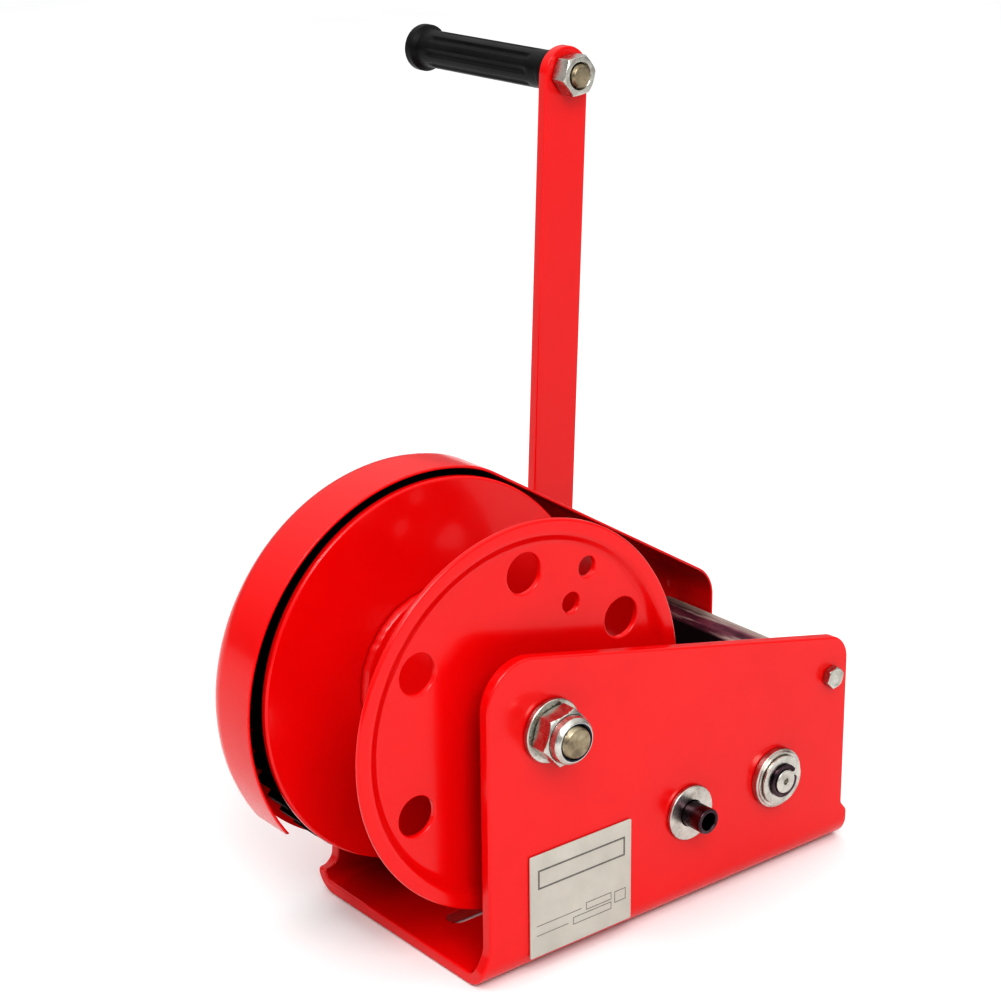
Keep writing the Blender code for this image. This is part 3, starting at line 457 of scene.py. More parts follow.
def finish_piece(bm, name, look, body, nodes=(), centre=(0.0, 0.0), flat_angle=None):
    """Mesh in millimetres around centre to a named piece that rides on body."""
    bmesh.ops.recalc_face_normals(bm, faces=bm.faces)
    bmesh.ops.scale(bm, vec=(MM, MM, MM), verts=bm.verts)
    mesh = bpy.data.meshes.new(name)
    bm.to_mesh(mesh)
    bm.free()
    mesh.shade_smooth()
    if flat_angle is not None:
        mesh.set_sharp_from_angle(angle=math.radians(flat_angle))
    mesh.materials.append(LOOKS[look][0])
    piece = bpy.data.objects.new(name, mesh)
    bpy.context.scene.collection.objects.link(piece)
    piece.location = (0.0, centre[0] * MM, centre[1] * MM)
    even = piece.modifiers.new("even_shading", "WEIGHTED_NORMAL")
    even.keep_sharp = True
    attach(piece, body)
    if nodes:
        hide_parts(*nodes)
    return piece


def body_of(node):
    return frame["nodes"][node]["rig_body"]


def along_x(u, v, w):
    return (w, u, v)


def plate(name, look, node, loops, low, high, radius=0.7, centre=(0.0, 0.0), hole_radius=None):
    """Flat plate across X with rounded edges, which stands for node."""
    outer = edge(low, high, radius)
    inner = outer if hole_radius is None else edge(low, high, hole_radius)
    bm = slab_mesh(loops, [outer] + [inner] * (len(loops) - 1), along_x)
    return finish_piece(bm, name, look, body_of(node), (node,), centre)


def ring_at(x, radius, steps):
    """Ring of points round the X axis; radius is a number, or a function of (degrees, x)."""
    if not callable(radius) and radius <= 1e-6:
        return [(x, 0.0, 0.0)]
    points = []
    for i in range(steps):
        degrees = 360.0 * i / steps
        reach = radius(degrees, x) if callable(radius) else radius
        points.append((x, *polar(reach, degrees)))
    return points


def turned_mesh(profile, steps=96):
    """Solid of revolution. profile is a line of (x, radius) or (x, radius, rounding)."""
    corners = [(p[0], p[1], p[2] if len(p) > 2 else 0.0) for p in profile]
    closed = not (corners[0][1] == 0.0 and corners[-1][1] == 0.0)
    line = rounded(corners, 4, closed)
    return skin_mesh([ring_at(x, r, steps) for x, r in line], closed)


def turned(name, look, nodes, profile, centre, steps=96, body=None):
    """Piece turned to profile round centre, which stands for nodes and rides on their body."""
    body = body or body_of(nodes[0])
    return finish_piece(turned_mesh(profile, steps), name, look, body, nodes, centre)


def washer(name, look, nodes, centre, bore, radius, rounding=0.4, steps=96):
    """Flat ring over the first node's span in X."""
    low, high = span(nodes[0])
    profile = [(low, bore, rounding * 0.5), (low, radius, rounding), (high, radius, rounding),
               (high, bore, rounding * 0.5)]
    return turned(name, look, nodes, profile, centre, steps)


def hex_radius(across, phase):
    """Distance from a hexagon's middle to its side, by direction."""
    def reach(degrees):
        turn = (degrees - phase) % 60.0 - 30.0
        return across / 2.0 / math.cos(math.radians(turn))
    return reach


NUT_STEPS = 144     # points round a nut, a bolt or a thread


def hex_rings(across, low, high, phase, steps=NUT_STEPS):
    """Rings of a hexagon whose corners are turned off by a cone, as on a nut."""
    flat, corner = hex_radius(across, phase), across / math.sqrt(3.0)
    start, fall = across / 2.0 * 0.96, math.tan(math.radians(30.0))
    depth = (corner - start) * fall
    levels = [0.0, 0.12, 0.3, 0.55, 0.8, 1.0]
    heights = [(low + depth * t, start + (corner - start) * t) for t in levels]
    heights += [(high - depth * t, start + (corner - start) * t) for t in levels[::-1]]
    return [ring_at(x, lambda d, _, cone=cone: min(flat(d), cone), steps) for x, cone in heights]


def thread(radius, pitch, depth):
    """Radius of a screw thread by direction and place along it."""
    def reach(degrees, x):
        turn = (x / pitch - degrees / 360.0) % 1.0
        return radius - depth * abs(2.0 * turn - 1.0)
    return reach


def bevelled(node, look, width=0.3, angle=40.0):
    """A node whose shape is right keeps its mesh and gets softened edges."""
    shape = frame["nodes"][node]
    shape.data.materials.clear()
    shape.data.materials.append(LOOKS[look][0])
    shape.data.shade_smooth()
    soften = shape.modifiers.new("soft_edges", "BEVEL")
    soften.width, soften.segments = width * MM, 2
    soften.limit_method, soften.angle_limit = "ANGLE", math.radians(angle)
    soften.use_clamp_overlap = True
    even = shape.modifiers.new("even_shading", "WEIGHTED_NORMAL")
    even.keep_sharp = True


# ---------------------------------------------------------------- frame sheet

AXLE_HOLE_R, MID_HOLE_R, CRANK_HOLE_R, SCREW_HOLE_R = 8.3, 9.9, 11.6, 3.3
FAR_SCREWS = ("brace_screw_far", "case_screw_1", "case_screw_2", "case_screw_3")


def frame_sheet():
    """One 6 mm sheet bent into a U. The flat pattern gets rounded edges, then it is bent.

    Corners are (place along the pattern, Y, rounding): up the near upright from the front, down
    it at the rear, and then the same round the far upright, whose front edge is further back."""
    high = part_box("base_frame")[1]
    half_width, length, sheet, bend = high.x / MM, high.y / MM, 6.0, 12.0
    flat_half, reach = half_width - bend, (bend - sheet / 2.0) * math.pi / 2.0

    def pattern(z):
        """Place along the flat pattern of a height on the upright."""
        return flat_half + reach + z - bend

    tab, step = 16.0, 5.0
    to_front, to_rear, rise, fall = 35.0, 192.0, 34.9, 0.2207
    front, rear, far_front = DRUM[0] - to_front, DRUM[0] + to_rear, DRUM[0] - 30.7
    top_front, top_rear = DRUM[1] + rise + fall * to_front, DRUM[1] + rise - fall * to_rear
    near = [(pattern(9.0), -length, 4.0), (pattern(18.0), front, 12.0),
            (pattern(top_front), front, 22.0), (pattern(top_rear), rear, 14.0),
            (pattern(tab + step), rear, 3.0), (pattern(tab), length, 2.5)]
    far = [(-s, y, r) for s, y, r in near[:2:-1]]
    far += [(-pattern(top_front) + 1.1, far_front, 22.0), (-pattern(21.0), far_front, 10.0),
            (-pattern(11.0), far_front - 1.0, 6.0), (-pattern(10.8), -length, 2.0)]
    outline = rounded(near + far, 14)
    holes, slot_r, slot_half = [], 5.0, 11.0
    for x, y in ((11.9, -80.0), (-14.1, 90.0), (37.9, 90.0)):
        holes.append(arc((x, y + slot_half), slot_r, 0.0, 180.0, 12)
                     + arc((x, y - slot_half), slot_r, 180.0, 360.0, 12))
    for (y, z), radius, sides in ((DRUM, AXLE_HOLE_R, (1, -1)), (MID, MID_HOLE_R, (1, -1)),
                                  (CRANK, 9.6, (1,)), (CRANK, CRANK_HOLE_R, (-1,)),
                                  (PAWL, 4.3, (-1,))):
        holes += [circle((side * pattern(z), y), radius, 36) for side in sides]
    for node, side in [("brace_screw_near", 1)] + [(name, -1) for name in FAR_SCREWS]:
        middle = sum(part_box(node), Vector()) / 2.0 / MM
        holes.append(circle((side * pattern(middle.z), middle.y), SCREW_HOLE_R, 24))
    sections = [edge(0.0, sheet, 1.1, 4)] + [edge(0.0, sheet, 0.5, 2)] * len(holes)
    bm = slab_mesh([outline] + holes, sections, lambda s, y, t: (s, y, t))
    bends = 12
    for side in (-1.0, 1.0):
        for i in range(bends + 1):
            at = side * (flat_half + reach * i / bends)
            bmesh.ops.bisect_plane(bm, geom=bm.verts[:] + bm.edges[:] + bm.faces[:], dist=1e-5,
                                   plane_co=(at, 0.0, 0.0), plane_no=(1.0, 0.0, 0.0))
    for vert in bm.verts:
        s, y, t = vert.co
        along, side = abs(s), math.copysign(1.0, s)
        if along <= flat_half:
            x, z = along, t
        elif along <= flat_half + reach:
            turn = (along - flat_half) / reach * math.pi / 2.0
            x, z = flat_half + (bend - t) * math.sin(turn), bend - (bend - t) * math.cos(turn)
        else:
            x, z = half_width - t, along - flat_half - reach + bend
        vert.co = (side * x, y, z)
    finish_piece(bm, "frame_sheet", "paint", "frame", ("base_frame",))


# ---------------------------------------------------------------- gear case

def case_cutter(outer, skin, mouth):
    """Blocks that open the case below and cut its far plate short in front, and its holes.

    The blocks' sides (low Y, high Y, low Z, high Z) are measured from the drum's axis."""
    cutter = bpy.data.objects.new("mouth_cut", bpy.data.meshes.new("mouth_cut"))
    bpy.context.scene.collection.objects.link(cutter)
    box = bmesh.new()
    notch = (-110.0, -29.5, -130.0, -83.5)
    front_mouth = (-115.0, 150.0, -135.0, -59.0)
    rear_mouth = (140.0, 200.0, -140.0, -100.0)
    for (y0, y1, z0, z1), far in ((notch, outer - 5.0), (front_mouth, outer + skin),
                                  (rear_mouth, outer + skin)):
        block = bmesh.ops.create_cube(box, size=1.0)["verts"]
        low_corner = Vector((far, y0 + DRUM[0], z0 + DRUM[1]))
        high_corner = Vector((mouth + 9.0, y1 + DRUM[0], z1 + DRUM[1]))
        for vert in block:
            share = vert.co + Vector((0.5, 0.5, 0.5))
            vert.co = low_corner + Vector(a * b for a, b in zip(share, high_corner - low_corner))
    holes = [(DRUM, AXLE_HOLE_R), (MID, MID_HOLE_R), (CRANK, CRANK_HOLE_R)]
    for node in FAR_SCREWS:
        place = sum(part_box(node), Vector()) / 2.0 / MM
        holes.append(((place.y, place.z), SCREW_HOLE_R))
    for (y, z), radius in holes:
        matrix = Matrix.Translation((outer, y, z)) @ Matrix.Rotation(math.pi / 2.0, 4, "Y")
        bmesh.ops.create_cone(box, cap_ends=True, segments=36, radius1=radius, radius2=radius,
                              depth=14.0, matrix=matrix)
    bmesh.ops.scale(box, vec=(MM, MM, MM), verts=box.verts)
    box.to_mesh(cutter.data)
    box.free()
    return cutter


def gear_case():
    """Pressed cover: far plate with a rounded bend, a rim round the gears, open at the bottom."""
    low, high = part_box("gear_case")
    outer, skin, mouth, wall = low.x / MM, 2.5, high.x / MM, 1.4
    round_r, slope, distance, shift = 100.9, 58.5, 99.2, Vector((-1.6, -1.8))
    normal, side = Vector(polar(1.0, slope)), Vector(polar(1.0, slope + 90.0))
    blend = 60.0
    reach = math.sqrt((round_r - blend) ** 2 - (distance - blend) ** 2)
    centre = normal * (distance - blend) + side * reach
    turn = math.degrees(math.atan2(centre.y, centre.x))
    rear, floor = high.y / MM - DRUM[0] - shift.x, low.z / MM - DRUM[1] - shift.y
    start = centre + normal * blend
    corner = start + side * ((rear - start.x) / side.x)
    points = arc((0.0, 0.0), round_r, 250.0, turn, 110)
    points += arc(centre, blend, turn, slope, 14)[1:]
    points += rounded(((*start, 0.0), (*corner, 20.0), (rear, floor, 9.0), (25.0, floor, 0.0)), 12)[1:]
    points = [tuple(Vector(point) + shift) for point in points]
    bend = 15.0
    inner = bend - skin
    section = [(-wall - inner * (1.0 - math.sin(a)), outer + skin + inner * (1.0 - math.cos(a)))
               for a in (math.pi / 2.0 * i / 5 for i in range(6))]
    lip = 0.45
    section += [(-wall, mouth - lip), (-wall + lip * 0.3, mouth - lip * 0.3), (-wall + lip, mouth),
                (-lip, mouth), (-lip * 0.3, mouth - lip * 0.3), (0.0, mouth - lip)]
    section += [(-bend * (1.0 - math.cos(a)), outer + bend * (1.0 - math.sin(a)))
                for a in (math.pi / 2.0 * i / 8 for i in range(9))]
    bm = slab_mesh([points], [section], along_x)
    shell = finish_piece(bm, "case_pan", "paint", "frame", ("gear_case",), DRUM)
    cutter = case_cutter(outer, skin, mouth)
    cut = shell.modifiers.new("mouth", "BOOLEAN")
    cut.operation, cut.solver, cut.object = "DIFFERENCE", "EXACT", cutter
    cut.use_self = True
    shell.modifiers.move(1, 0)
    bpy.context.view_layer.update()
    graph = bpy.context.evaluated_depsgraph_get()
    shaped = bpy.data.meshes.new_from_object(shell.evaluated_get(graph))
    shell.modifiers.clear()
    shell.data = shaped
    shaped.shade_smooth()
    shaped.set_sharp_from_angle(angle=math.radians(50.0))
    even = shell.modifiers.new("even_shading", "WEIGHTED_NORMAL")
    even.keep_sharp = True
    bpy.data.objects.remove(cutter)


# ---------------------------------------------------------------- drum

def drum():
    """Dished near flange, plain far flange, barrel and the weld bead at each end of it."""
    low, high = span("drum_flange_near")
    thick, dish_r, flange_r, far_r, depth, bore = 3.2, 79.5, 92.4, 94.2, 3.3, 13.3
    hole_ring, hole_r, hole_start = 67.4, 9.6, 28.0
    clamp_rings, clamp_r, clamp_place = (72.9, 55.0), 4.8, 57.7
    face, back, lip_end = high - depth, high - thick, flange_r - dish_r
    lip = [(0.0, face), (1.6, face + 0.25), (3.2, face + 1.2), (4.6, face + 2.2), (6.0, high - 0.15),
           (7.6, high), (lip_end - 1.3, high), (lip_end - 0.4, high - 0.35), (lip_end, high - 1.2),
           (lip_end, back + 1.2), (lip_end - 0.4, back + 0.35), (lip_end - 1.2, back), (8.6, back),
           (7.0, back - 0.2), (5.4, back - 1.2), (3.6, back - 2.3), (1.9, face - thick + 0.15),
           (0.0, face - thick)]
    holes = [circle((0.0, 0.0), bore, 72)]
    holes += [circle(polar(hole_ring, hole_start + 60.0 * i), hole_r, 64) for i in range(6)]
    holes += [circle(polar(ring, clamp_place), clamp_r, 48) for ring in clamp_rings]
    sections = [lip] + [edge(face - thick, face, 0.9, 4)] * len(holes)
    bm = slab_mesh([circle((0.0, 0.0), dish_r, 180)] + holes, sections, along_x)
    finish_piece(bm, "flange_near", "paint", "drum", ("drum_flange_near",), DRUM)
    far_low, far_high = span("drum_flange_far")
    turned("flange_far", "paint", ("drum_flange_far",),
           [(far_high, bore), (far_high, far_r, 1.5), (far_low, far_r, 1.5), (far_low, bore)],
           DRUM, 180)
    start, end = span("drum_barrel")
    barrel_r, barrel_bore = 39.0, 34.0
    turned("barrel", "paint", ("drum_barrel",),
           [(start, barrel_bore), (start, barrel_r), (end, barrel_r), (end, barrel_bore)], DRUM, 120)
    for name, at, side in (("weld_far", far_high, 1.0), ("weld_near", face - thick, -1.0)):
        rings = []
        for k in range(9):
            turn = math.pi / 2.0 * k / 8

            def bead(degrees, x, turn=turn, side=side):
                ripple = noise.noise(Vector((math.cos(math.radians(degrees)) * 9.0,
                                             math.sin(math.radians(degrees)) * 9.0, side * 5.0)))
                scallop = 0.28 * abs(math.sin(math.radians(degrees) * 26.0))
                return 38.6 + (3.4 + 0.7 * ripple + scallop) * math.cos(turn) * 0.95 + 0.35
            rings.append(ring_at(at + side * (0.1 + 4.2 * math.sin(turn)), bead, 240))
        rings.append(ring_at(at + side * 4.3, 38.4, 240))
        rings.append(ring_at(at + side * 0.1, 38.4, 240))
        finish_piece(skin_mesh(rings, True), name, "paint", "drum", (), DRUM)


# ---------------------------------------------------------------- shafts, nuts and washers

M16_FLATS, M12_FLATS, M6_FLATS = 24.0, 19.0, 10.0
M16_BORE, M12_BORE = 8.3, 6.3


def axle():
    """The drum's axle bolt, its lock nut with a nylon insert and its two washers."""
    low, high = span("axle_bolt")
    shank, head_end, thread_start = 8.0, low + 10.0, high - 12.0
    rings = [[(low + 0.5, 0.0, 0.0)], ring_at(low + 0.5, 9.6, NUT_STEPS), ring_at(low, 10.6, NUT_STEPS)]
    rings += hex_rings(M16_FLATS, low, head_end, 0.0)
    rings += [ring_at(head_end, shank, NUT_STEPS), ring_at(thread_start, shank, NUT_STEPS)]
    rings += [ring_at(thread_start + 0.25 * i, thread(shank, 2.0, 0.7), NUT_STEPS) for i in range(41)]
    rings += [ring_at(high - back, r, NUT_STEPS)
              for back, r in ((1.5, 7.4), (0.4, 6.9), (0.0, 6.3), (0.0, 2.0))]
    rings.append([(high - 0.15, 0.0, 0.0)])
    finish_piece(skin_mesh(rings, False), "axle_bolt_turned", "bolt_end", "frame", ("axle_bolt",),
                 DRUM, 40.0)
    low, high = span("axle_lock_nut")
    rings = [ring_at(low, 8.35, NUT_STEPS)] + hex_rings(M16_FLATS, low, low + 10.0, 12.0)
    collar = rounded(((low + 9.2, 11.3, 0.0), (low + 10.4, 11.3, 0.4), (high - 1.6, 11.0, 1.6),
                      (high, 9.4, 0.6), (high, 8.9, 0.0)), 5, False)
    rings += [ring_at(x, r, NUT_STEPS) for x, r in collar]
    rings += [ring_at(high - 1.2, 8.8, NUT_STEPS), ring_at(high - 1.3, 8.35, NUT_STEPS)]
    finish_piece(skin_mesh(rings, True), "lock_nut_body", "zinc", "frame", ("axle_lock_nut",),
                 DRUM, 40.0)
    turned("lock_nut_insert", "nylon", (), [(high - 1.0, 8.32), (high - 1.0, 8.78, 0.0),
                                            (high - 0.25, 8.78, 0.15), (high - 0.25, 8.32, 0.1)],
           DRUM, 96, "frame")
    washer("axle_washer_near_turned", "zinc", ("axle_washer_near",), DRUM, M16_BORE, 15.2, 0.7)
    washer("axle_washer_far_turned", "zinc", ("axle_washer_far",), DRUM, M16_BORE, 15.2, 0.7)


def shaft_ends():
    """The two gear shafts, the bushes that hold them, and the crank shaft's washer and ring."""
    low, high = span("mid_shaft")
    thin, thick, socket = 6.3, 9.0, 4.2
    seat, shoulder, near_step = -41.3, -26.2, 58.5
    profile = [(low, 0.0), (low, thin, 0.6), (seat, thin), (shoulder, thin), (shoulder, thick, 0.4),
               (near_step, thick, 0.4), (near_step, thin), (high, thin, 0.7), (high, 4.5, 0.3),
               (high - 0.8, socket, 0.2), (high - 9.0, socket, 0.3), (high - 10.5, 0.0)]
    turned("mid_shaft_turned", "black", ("mid_shaft",), profile, MID, 72)
    low, high = span("mid_bush_near")
    turned("mid_bush_near_turned", "zinc", ("mid_bush_near",),
           [(low, 6.6), (low, 9.6, 0.3), (high - 2.1, 9.6), (high - 2.1, 13.7, 0.3),
            (high, 13.7, 0.5), (high, 6.6, 0.3)], MID)
    low, high = span("mid_bush_far")
    turned("mid_bush_far_turned", "bronze", ("mid_bush_far",),
           [(low, 6.6, 0.3), (low, 13.7, 0.5), (low + 2.0, 13.7, 0.3), (low + 2.0, 9.6),
            (high, 9.6, 0.3), (high, 6.6)], MID)
    low, high = span("crank_bush_near")
    turned("crank_bush_near_turned", "zinc", ("crank_bush_near",),
           [(low, 6.3), (low, 9.3, 0.3), (high - 4.3, 9.3), (high - 4.3, 15.1, 0.3),
            (high - 1.1, 15.1, 0.5), (high - 0.9, 14.2, 0.2), (high, 14.0, 0.5), (high, 6.3, 0.2)], CRANK)
    low, high = span("crank_bush_far")
    turned("crank_bush_far_turned", "bronze", ("crank_bush_far",),
           [(low, M16_BORE, 0.3), (low, 16.0, 0.6), (low + 2.7, 16.0, 0.3), (low + 2.7, 11.3),
            (high, 11.3, 0.3), (high, M16_BORE)], CRANK)
    washer("crank_washer_near_turned", "zinc", ("crank_washer_near",), CRANK, M12_BORE, 12.6, 0.35)
    low, high = span("crank_ring_near")
    start, end, inside, outside = 36.0, 358.0, 6.35, 8.4
    middle, half = (inside + outside) / 2.0, (outside - inside) / 2.0
    outline = arc((0.0, 0.0), outside, start, end, 60)
    outline += arc(polar(middle, end), half, end, end + 180.0, 8)[1:-1]
    outline += arc((0.0, 0.0), inside, end, start, 60)
    outline += arc(polar(middle, start), half, start + 180.0, start + 360.0, 8)[1:-1]
    plate("snap_ring", "black", "crank_ring_near", [outline], low, high, 0.2, CRANK)
    low, high = span("crank_shaft")
    threaded, thick, thin = 8.0, 9.5, 6.0
    seat, shoulder = -53.9, -41.4
    profile = [(low, 0.0), (low, threaded, 1.0), (seat, threaded), (shoulder, threaded),
               (shoulder, thick, 0.4), (near_step, thick, 0.4), (near_step, thin), (high, thin, 0.5),
               (high, 1.6, 0.15), (high - 3.0, 1.4), (high - 3.8, 0.0)]
    turned("crank_shaft_turned", "zinc", ("crank_shaft",), profile, CRANK, 72)


def hex_screws():
    """Hex screws with a turned-off top and a slight dish, threaded where they come through."""
    for node in ("brace_screw_near", *FAR_SCREWS):
        low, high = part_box(node)
        centre = ((low.y + high.y) / 2.0 / MM, (low.z + high.z) / 2.0 / MM)
        sign = 1.0 if node == "brace_screw_near" else -1.0
        top, foot = (high.x, low.x) if sign > 0.0 else (low.x, high.x)
        top, foot = top / MM, foot / MM
        seat = top - sign * 4.1
        rings = [[(top - sign * 0.5, 0.0, 0.0)], ring_at(top - sign * 0.5, 3.2, 96),
                 ring_at(top - sign * 0.1, 3.9, 96)]
        rings += hex_rings(M6_FLATS, min(top, seat), max(top, seat), 15.0, steps=96)[::-int(sign)]
        count = int(abs(foot - seat) * 4)
        for i in range(count + 1):
            rings.append(ring_at(seat + (foot - seat) * i / count,
                                 3.0 if i in (0, count) else thread(3.0, 1.0, 0.35), 96))
        rings.append([(foot, 0.0, 0.0)])
        finish_piece(skin_mesh(rings, False), f"{node}_turned", "zinc", "frame", (node,), centre, 40.0)


# ---------------------------------------------------------------- brake, ratchet and pawl

def brake():
    """The load brake's discs, its ratchet and hub, the crank's end nut, and the pawl's parts."""
    washer("brake_flange_turned", "zinc", ("brake_flange",), CRANK, M16_BORE, 33.0, 0.9, 120)
    for side in ("inner", "outer"):
        washer(f"lining_{side}", "lining", (f"brake_lining_{side}",), CRANK, 14.0, 31.0, 0.3, 120)
    low, high = span("ratchet_wheel")
    teeth, outer, root = 12, 36.0, 30.0
    corners = []
    for i in range(teeth):
        start = 90.0 - 360.0 / teeth * i
        corners += [(*polar(root, start), 1.2), (*polar(outer, start), 0.25),
                    (*polar(outer - 0.4, start - 6.0), 1.5), (*polar(root + 0.8, start - 25.5), 2.0)]
    plate("ratchet_cut", "black", "ratchet_wheel",
          [rounded(corners, 4), circle((0.0, 0.0), M16_BORE, 60)], low, high, 0.5, CRANK)
    low, high = span("brake_hub")
    turned("brake_hub_turned", "zinc", ("brake_hub",),
           [(low, M16_BORE, 0.3), (low, 15.0, 0.8), (high - 5.0, 15.0, 1.5),
            (high - 5.0, 30.8, 0.7), (high, 31.0, 0.5), (high, M16_BORE, 0.3)], CRANK, 120)
    washer("crank_end_washer_turned", "zinc", ("crank_end_washer",), CRANK, M16_BORE, 13.0, 0.5)
    for node, across, phase, centre, bore in (("crank_end_nut", M16_FLATS, 0.0, CRANK, M16_BORE),
                                              ("grip_nut", M12_FLATS, 8.0, GRIP, M12_BORE)):
        low, high = span(node)
        rings = [ring_at(low + 0.8, bore, NUT_STEPS), ring_at(low, bore + 0.8, NUT_STEPS)]
        rings += hex_rings(across, low, high, phase)
        rings += [ring_at(high, bore + 0.8, NUT_STEPS), ring_at(high - 0.8, bore, NUT_STEPS)]
        finish_piece(skin_mesh(rings, True), f"{node}_turned", "zinc", body_of(node), (node,), centre,
                     40.0)
    low, high = span("pawl_pin")
    turned("pawl_pin_turned", "zinc", ("pawl_pin",),
           [(low, 0.0), (low, 7.8, 1.6), (low + 5.0, 7.8, 0.5), (low + 5.0, 4.0), (high, 4.0, 0.5),
            (high, 0.0)], PAWL, 72)
    washer("pawl_spacer_turned", "zinc", ("pawl_spacer",), PAWL, 4.3, 6.0, 0.3, 60)
    bevelled("pawl", "zinc_flat", 0.5)
    spring()


def spring():
    """Torsion spring round the pawl spacer: round wire, three turns, two straight legs."""
    low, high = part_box("pawl_spring")
    wire, turns, coil_r = 0.7, 3.0, 7.4
    first, last = high.x / MM - wire, low.x / MM + wire
    start = 200.0
    finish = start - 360.0 * turns + 150.0
    steps = 40 * int(turns)
    path = []
    for i in range(steps + 1):
        share = i / steps
        path.append((first + (last - first) * share, *polar(coil_r, start + (finish - start) * share)))
    y, z = polar(coil_r, start)
    path.insert(0, (path[0][0], y - 3.0, z + 14.0))
    y, z = polar(coil_r, finish)
    path.append((path[-1][0], y + 14.0, z + 1.0))
    line = bpy.data.curves.new("spring_wire", "CURVE")
    line.dimensions, line.bevel_depth, line.bevel_resolution = "3D", wire * MM, 4
    line.use_fill_caps = True
    track = line.splines.new("POLY")
    track.points.add(len(path) - 1)
    for point, place in zip(track.points, path):
        point.co = (*(MM * value for value in place), 1.0)
    line.materials.append(LOOKS["zinc_flat"][0])
    wire_piece = bpy.data.objects.new("spring_wire", line)
    bpy.context.scene.collection.objects.link(wire_piece)
    wire_piece.location = (0.0, PAWL[0] * MM, PAWL[1] * MM)
    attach(wire_piece, "frame")
    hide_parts("pawl_spring")


# ---------------------------------------------------------------- crank and grip

def crank():
    """Flat arm with round ends, and the grip's bolt with its domed head and threaded end."""
    low, high = span("crank_arm")
    tip = (GRIP[0] - CRANK[0], GRIP[1] - CRANK[1])
    lean, half_width = 90.0 - math.degrees(math.atan2(tip[1], tip[0])), 13.75
    outline = arc(tip, half_width, -lean, 180.0 - lean, 40)
    outline += arc((0.0, 0.0), half_width, 180.0 - lean, 360.0 - lean, 40)
    plate("crank_arm_plate", "paint", "crank_arm",
          [outline, circle((0.0, 0.0), M16_BORE, 60), circle(tip, M12_BORE, 48)], low, high, 0.9,
          CRANK, 0.3)
    low, high = span("grip_bolt")
    grip_low, grip_high = span("grip")
    rings = [[(low, 0.0, 0.0)]]
    head = rounded(((low, 0.0, 0.0), (low, 7.6, 1.2), (low + 1.6, 9.0, 0.6), (grip_low - 0.3, 9.0, 0.3),
                    (grip_low - 0.3, 6.0, 0.0)), 5, False)[1:]
    rings += [ring_at(x, r, 96) for x, r in head]
    start = grip_high + 7.0
    rings.append(ring_at(start, 6.0, 96))
    count = int((high - 1.2 - start) * 5)
    rings += [ring_at(start + (high - 1.2 - start) * i / count, thread(6.0, 1.75, 0.55), 96)
              for i in range(1, count + 1)]
    rings += [ring_at(high - 0.3, 5.2, 96), ring_at(high, 4.7, 96), [(high - 0.1, 0.0, 0.0)]]
    finish_piece(skin_mesh(rings, False), "grip_bolt_turned", "bolt_end", "handle", ("grip_bolt",),
                 GRIP, 40.0)


def grip():
    """Moulded sleeve: eight shallow flutes with rounded ends, a collar and an end flange."""
    low, high = span("grip")
    flutes, body_r, start, end = 8, 9.9, high - 14.0, low + 15.0

    def fluted(degrees, x):
        run = min((start - x) / 5.0, (x - end) / 5.0)
        share = max(0.0, min(1.0, run))
        share = share * share * (3.0 - 2.0 * share)
        wave = math.cos(math.radians(degrees * flutes))
        hollow = max(0.0, wave - 0.15) / 0.85
        return body_r - 1.15 * share * hollow ** 0.7

    bore = M12_BORE
    line = rounded(((high, bore + 0.6, 0.0), (high, 10.8, 0.8), (high - 6.0, 10.8, 0.8),
                    (high - 7.6, body_r, 0.6), (high - 9.0, body_r, 0.0)), 5, False)
    rings = [ring_at(x, r, 192) for x, r in line]
    count = 70
    top, bottom = high - 10.0, low + 11.0
    rings += [ring_at(top + (bottom - top) * i / count, fluted, 192) for i in range(count + 1)]
    line = rounded(((low + 10.0, body_r, 0.0), (low + 8.0, body_r, 1.5), (low + 5.6, 12.4, 0.9),
                    (low, 12.4, 1.5), (low, bore + 0.6, 0.0)), 6, False)
    rings += [ring_at(x, r, 192) for x, r in line]
    rings += [ring_at(low + 0.6, bore, 192), ring_at(high - 0.6, bore, 192)]
    finish_piece(skin_mesh(rings, True), "grip_sleeve", "grip", "grip", ("grip",), GRIP, 50.0)


# ---------------------------------------------------------------- data plate

def data_plate():
    """Thin plate with rounded corners, which carries the printed material."""
    low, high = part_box("data_plate")
    (y0, z0), (y1, z1) = (low.y / MM, low.z / MM), (high.y / MM, high.z / MM)
    outline = rounded(((y0, z0, 1.0), (y1, z0, 1.0), (y1, z1, 1.0), (y0, z1, 1.0)), 6)
    plate("printed_data_plate", "plate", "data_plate", [outline], low.x / MM, high.x / MM, 0.2)


# ---------------------------------------------------------------- light, floor and camera

def area_light(name, place, target, size, power):
    """White square lamp at place, turned to face target."""
    data = bpy.data.lights.new(name, "AREA")
    data.shape, data.size, data.energy = "SQUARE", size, power
    lamp = bpy.data.objects.new(name, data)
    bpy.context.scene.collection.objects.link(lamp)
    lamp.location = place
    lamp.rotation_euler = (Vector(target) - Vector(place)).to_track_quat("-Z", "Y").to_euler()


HORIZON, ZENITH = 0.12, 1.20            # the world's strength at the horizon and overhead
KEY, SPARK, SIDE = 3.0, 3.5, 33.0       # the lamps' power in watts
FLOOR = 0.80                            # the floor's grey level
LOOK = "High Contrast"


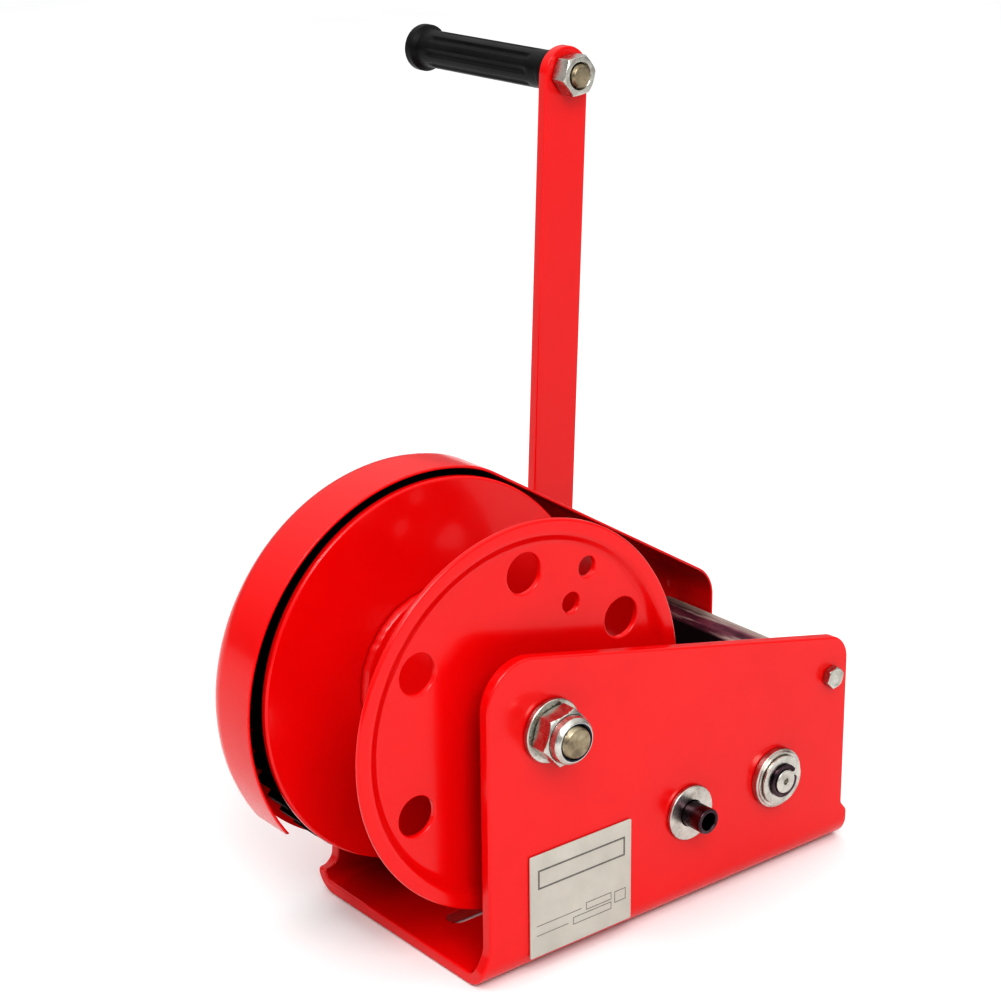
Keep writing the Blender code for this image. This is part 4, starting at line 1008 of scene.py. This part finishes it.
def studio():
    """White world, bright overhead and dim at the horizon, three lamps and a pale floor."""
    scene = bpy.context.scene
    world = bpy.data.worlds.new("studio_world")
    scene.world = world
    world.use_nodes = True
    tree = world.node_tree
    background = tree.nodes["Background"]
    background.inputs["Color"].default_value = (1.0, 1.0, 1.0, 1.0)
    split = tree.nodes.new("ShaderNodeSeparateXYZ")
    tree.links.new(tree.nodes.new("ShaderNodeTexCoord").outputs["Generated"], split.inputs["Vector"])
    rise = tree.nodes.new("ShaderNodeMapRange")
    rise.inputs["To Min"].default_value, rise.inputs["To Max"].default_value = HORIZON, ZENITH
    tree.links.new(split.outputs["Z"], rise.inputs["Value"])
    tree.links.new(rise.outputs["Result"], background.inputs["Strength"])
    middle = (-0.02, 0.0, 0.15)
    area_light("key", (0.5, -1.5, 2.2), middle, 1.4, KEY)
    area_light("spark", (-0.35, -1.3, 1.95), middle, 0.25, SPARK)
    area_light("side", (1.9, -0.9, 1.9), middle, 1.3, SIDE)
    size = 12.0
    bm = bmesh.new()
    bmesh.ops.create_grid(bm, x_segments=8, y_segments=8, size=size)
    mesh = bpy.data.meshes.new("floor")
    bm.to_mesh(mesh)
    bm.free()
    n = Nodes("pale_floor")
    n.set(Metallic=0.0, IOR=1.3)
    tone = n.ramp(n.noise(3.0, 4.0), [(0.3, (FLOOR - 0.02,) * 3), (0.7, (FLOOR + 0.02,) * 3)])
    mesh.materials.append(n.finish(tone, n.between(n.noise(8.0, 3.0), 0.75, 0.9)))
    floor = bpy.data.objects.new("floor", mesh)
    floor.location.z = -0.0003
    scene.collection.objects.link(floor)
    scene.view_settings.view_transform = "Standard"
    scene.view_settings.look = LOOK


def camera():
    """Camera where the fit of the winch's circles and edges puts it."""
    data = bpy.data.cameras.new("camera")
    data.sensor_width, data.lens = 36.0, 84.32
    data.clip_end = 100.0
    made = bpy.data.objects.new("camera", data)
    bpy.context.scene.collection.objects.link(made)
    place = Vector((0.79475, -0.68389, 0.56318))
    back = Vector((0.738025, -0.586358, 0.333921)).normalized()
    right = Vector((0.625032, 0.780524, -0.010849))
    right = (right - back * right.dot(back)).normalized()
    up = back.cross(right)
    turn = Matrix((right, up, back)).transposed().to_4x4()
    made.matrix_world = Matrix.Translation(place) @ turn
    bpy.context.scene.camera = made


for node, shape in frame["nodes"].items():
    slot = shape.data.materials[0].name.split(".")[0]
    shape.data.materials.clear()
    shape.data.materials.append(LOOKS[SLOT_LOOK[slot]][0])
# Drum gear and pinions get the near-black painted shade; the mid gear is drawn zinc.
for node in ("drum_gear", "mid_pinion", "mid_gear", "crank_pinion"):
    bevelled(node, "zinc_flat" if node == "mid_gear" else "painted_dark", 0.25)
frame_sheet()
gear_case()
drum()
axle()
shaft_ends()
hex_screws()
brake()
crank()
grip()
bevelled("rear_brace", "scaled", 0.5)
data_plate()
studio()
camera()
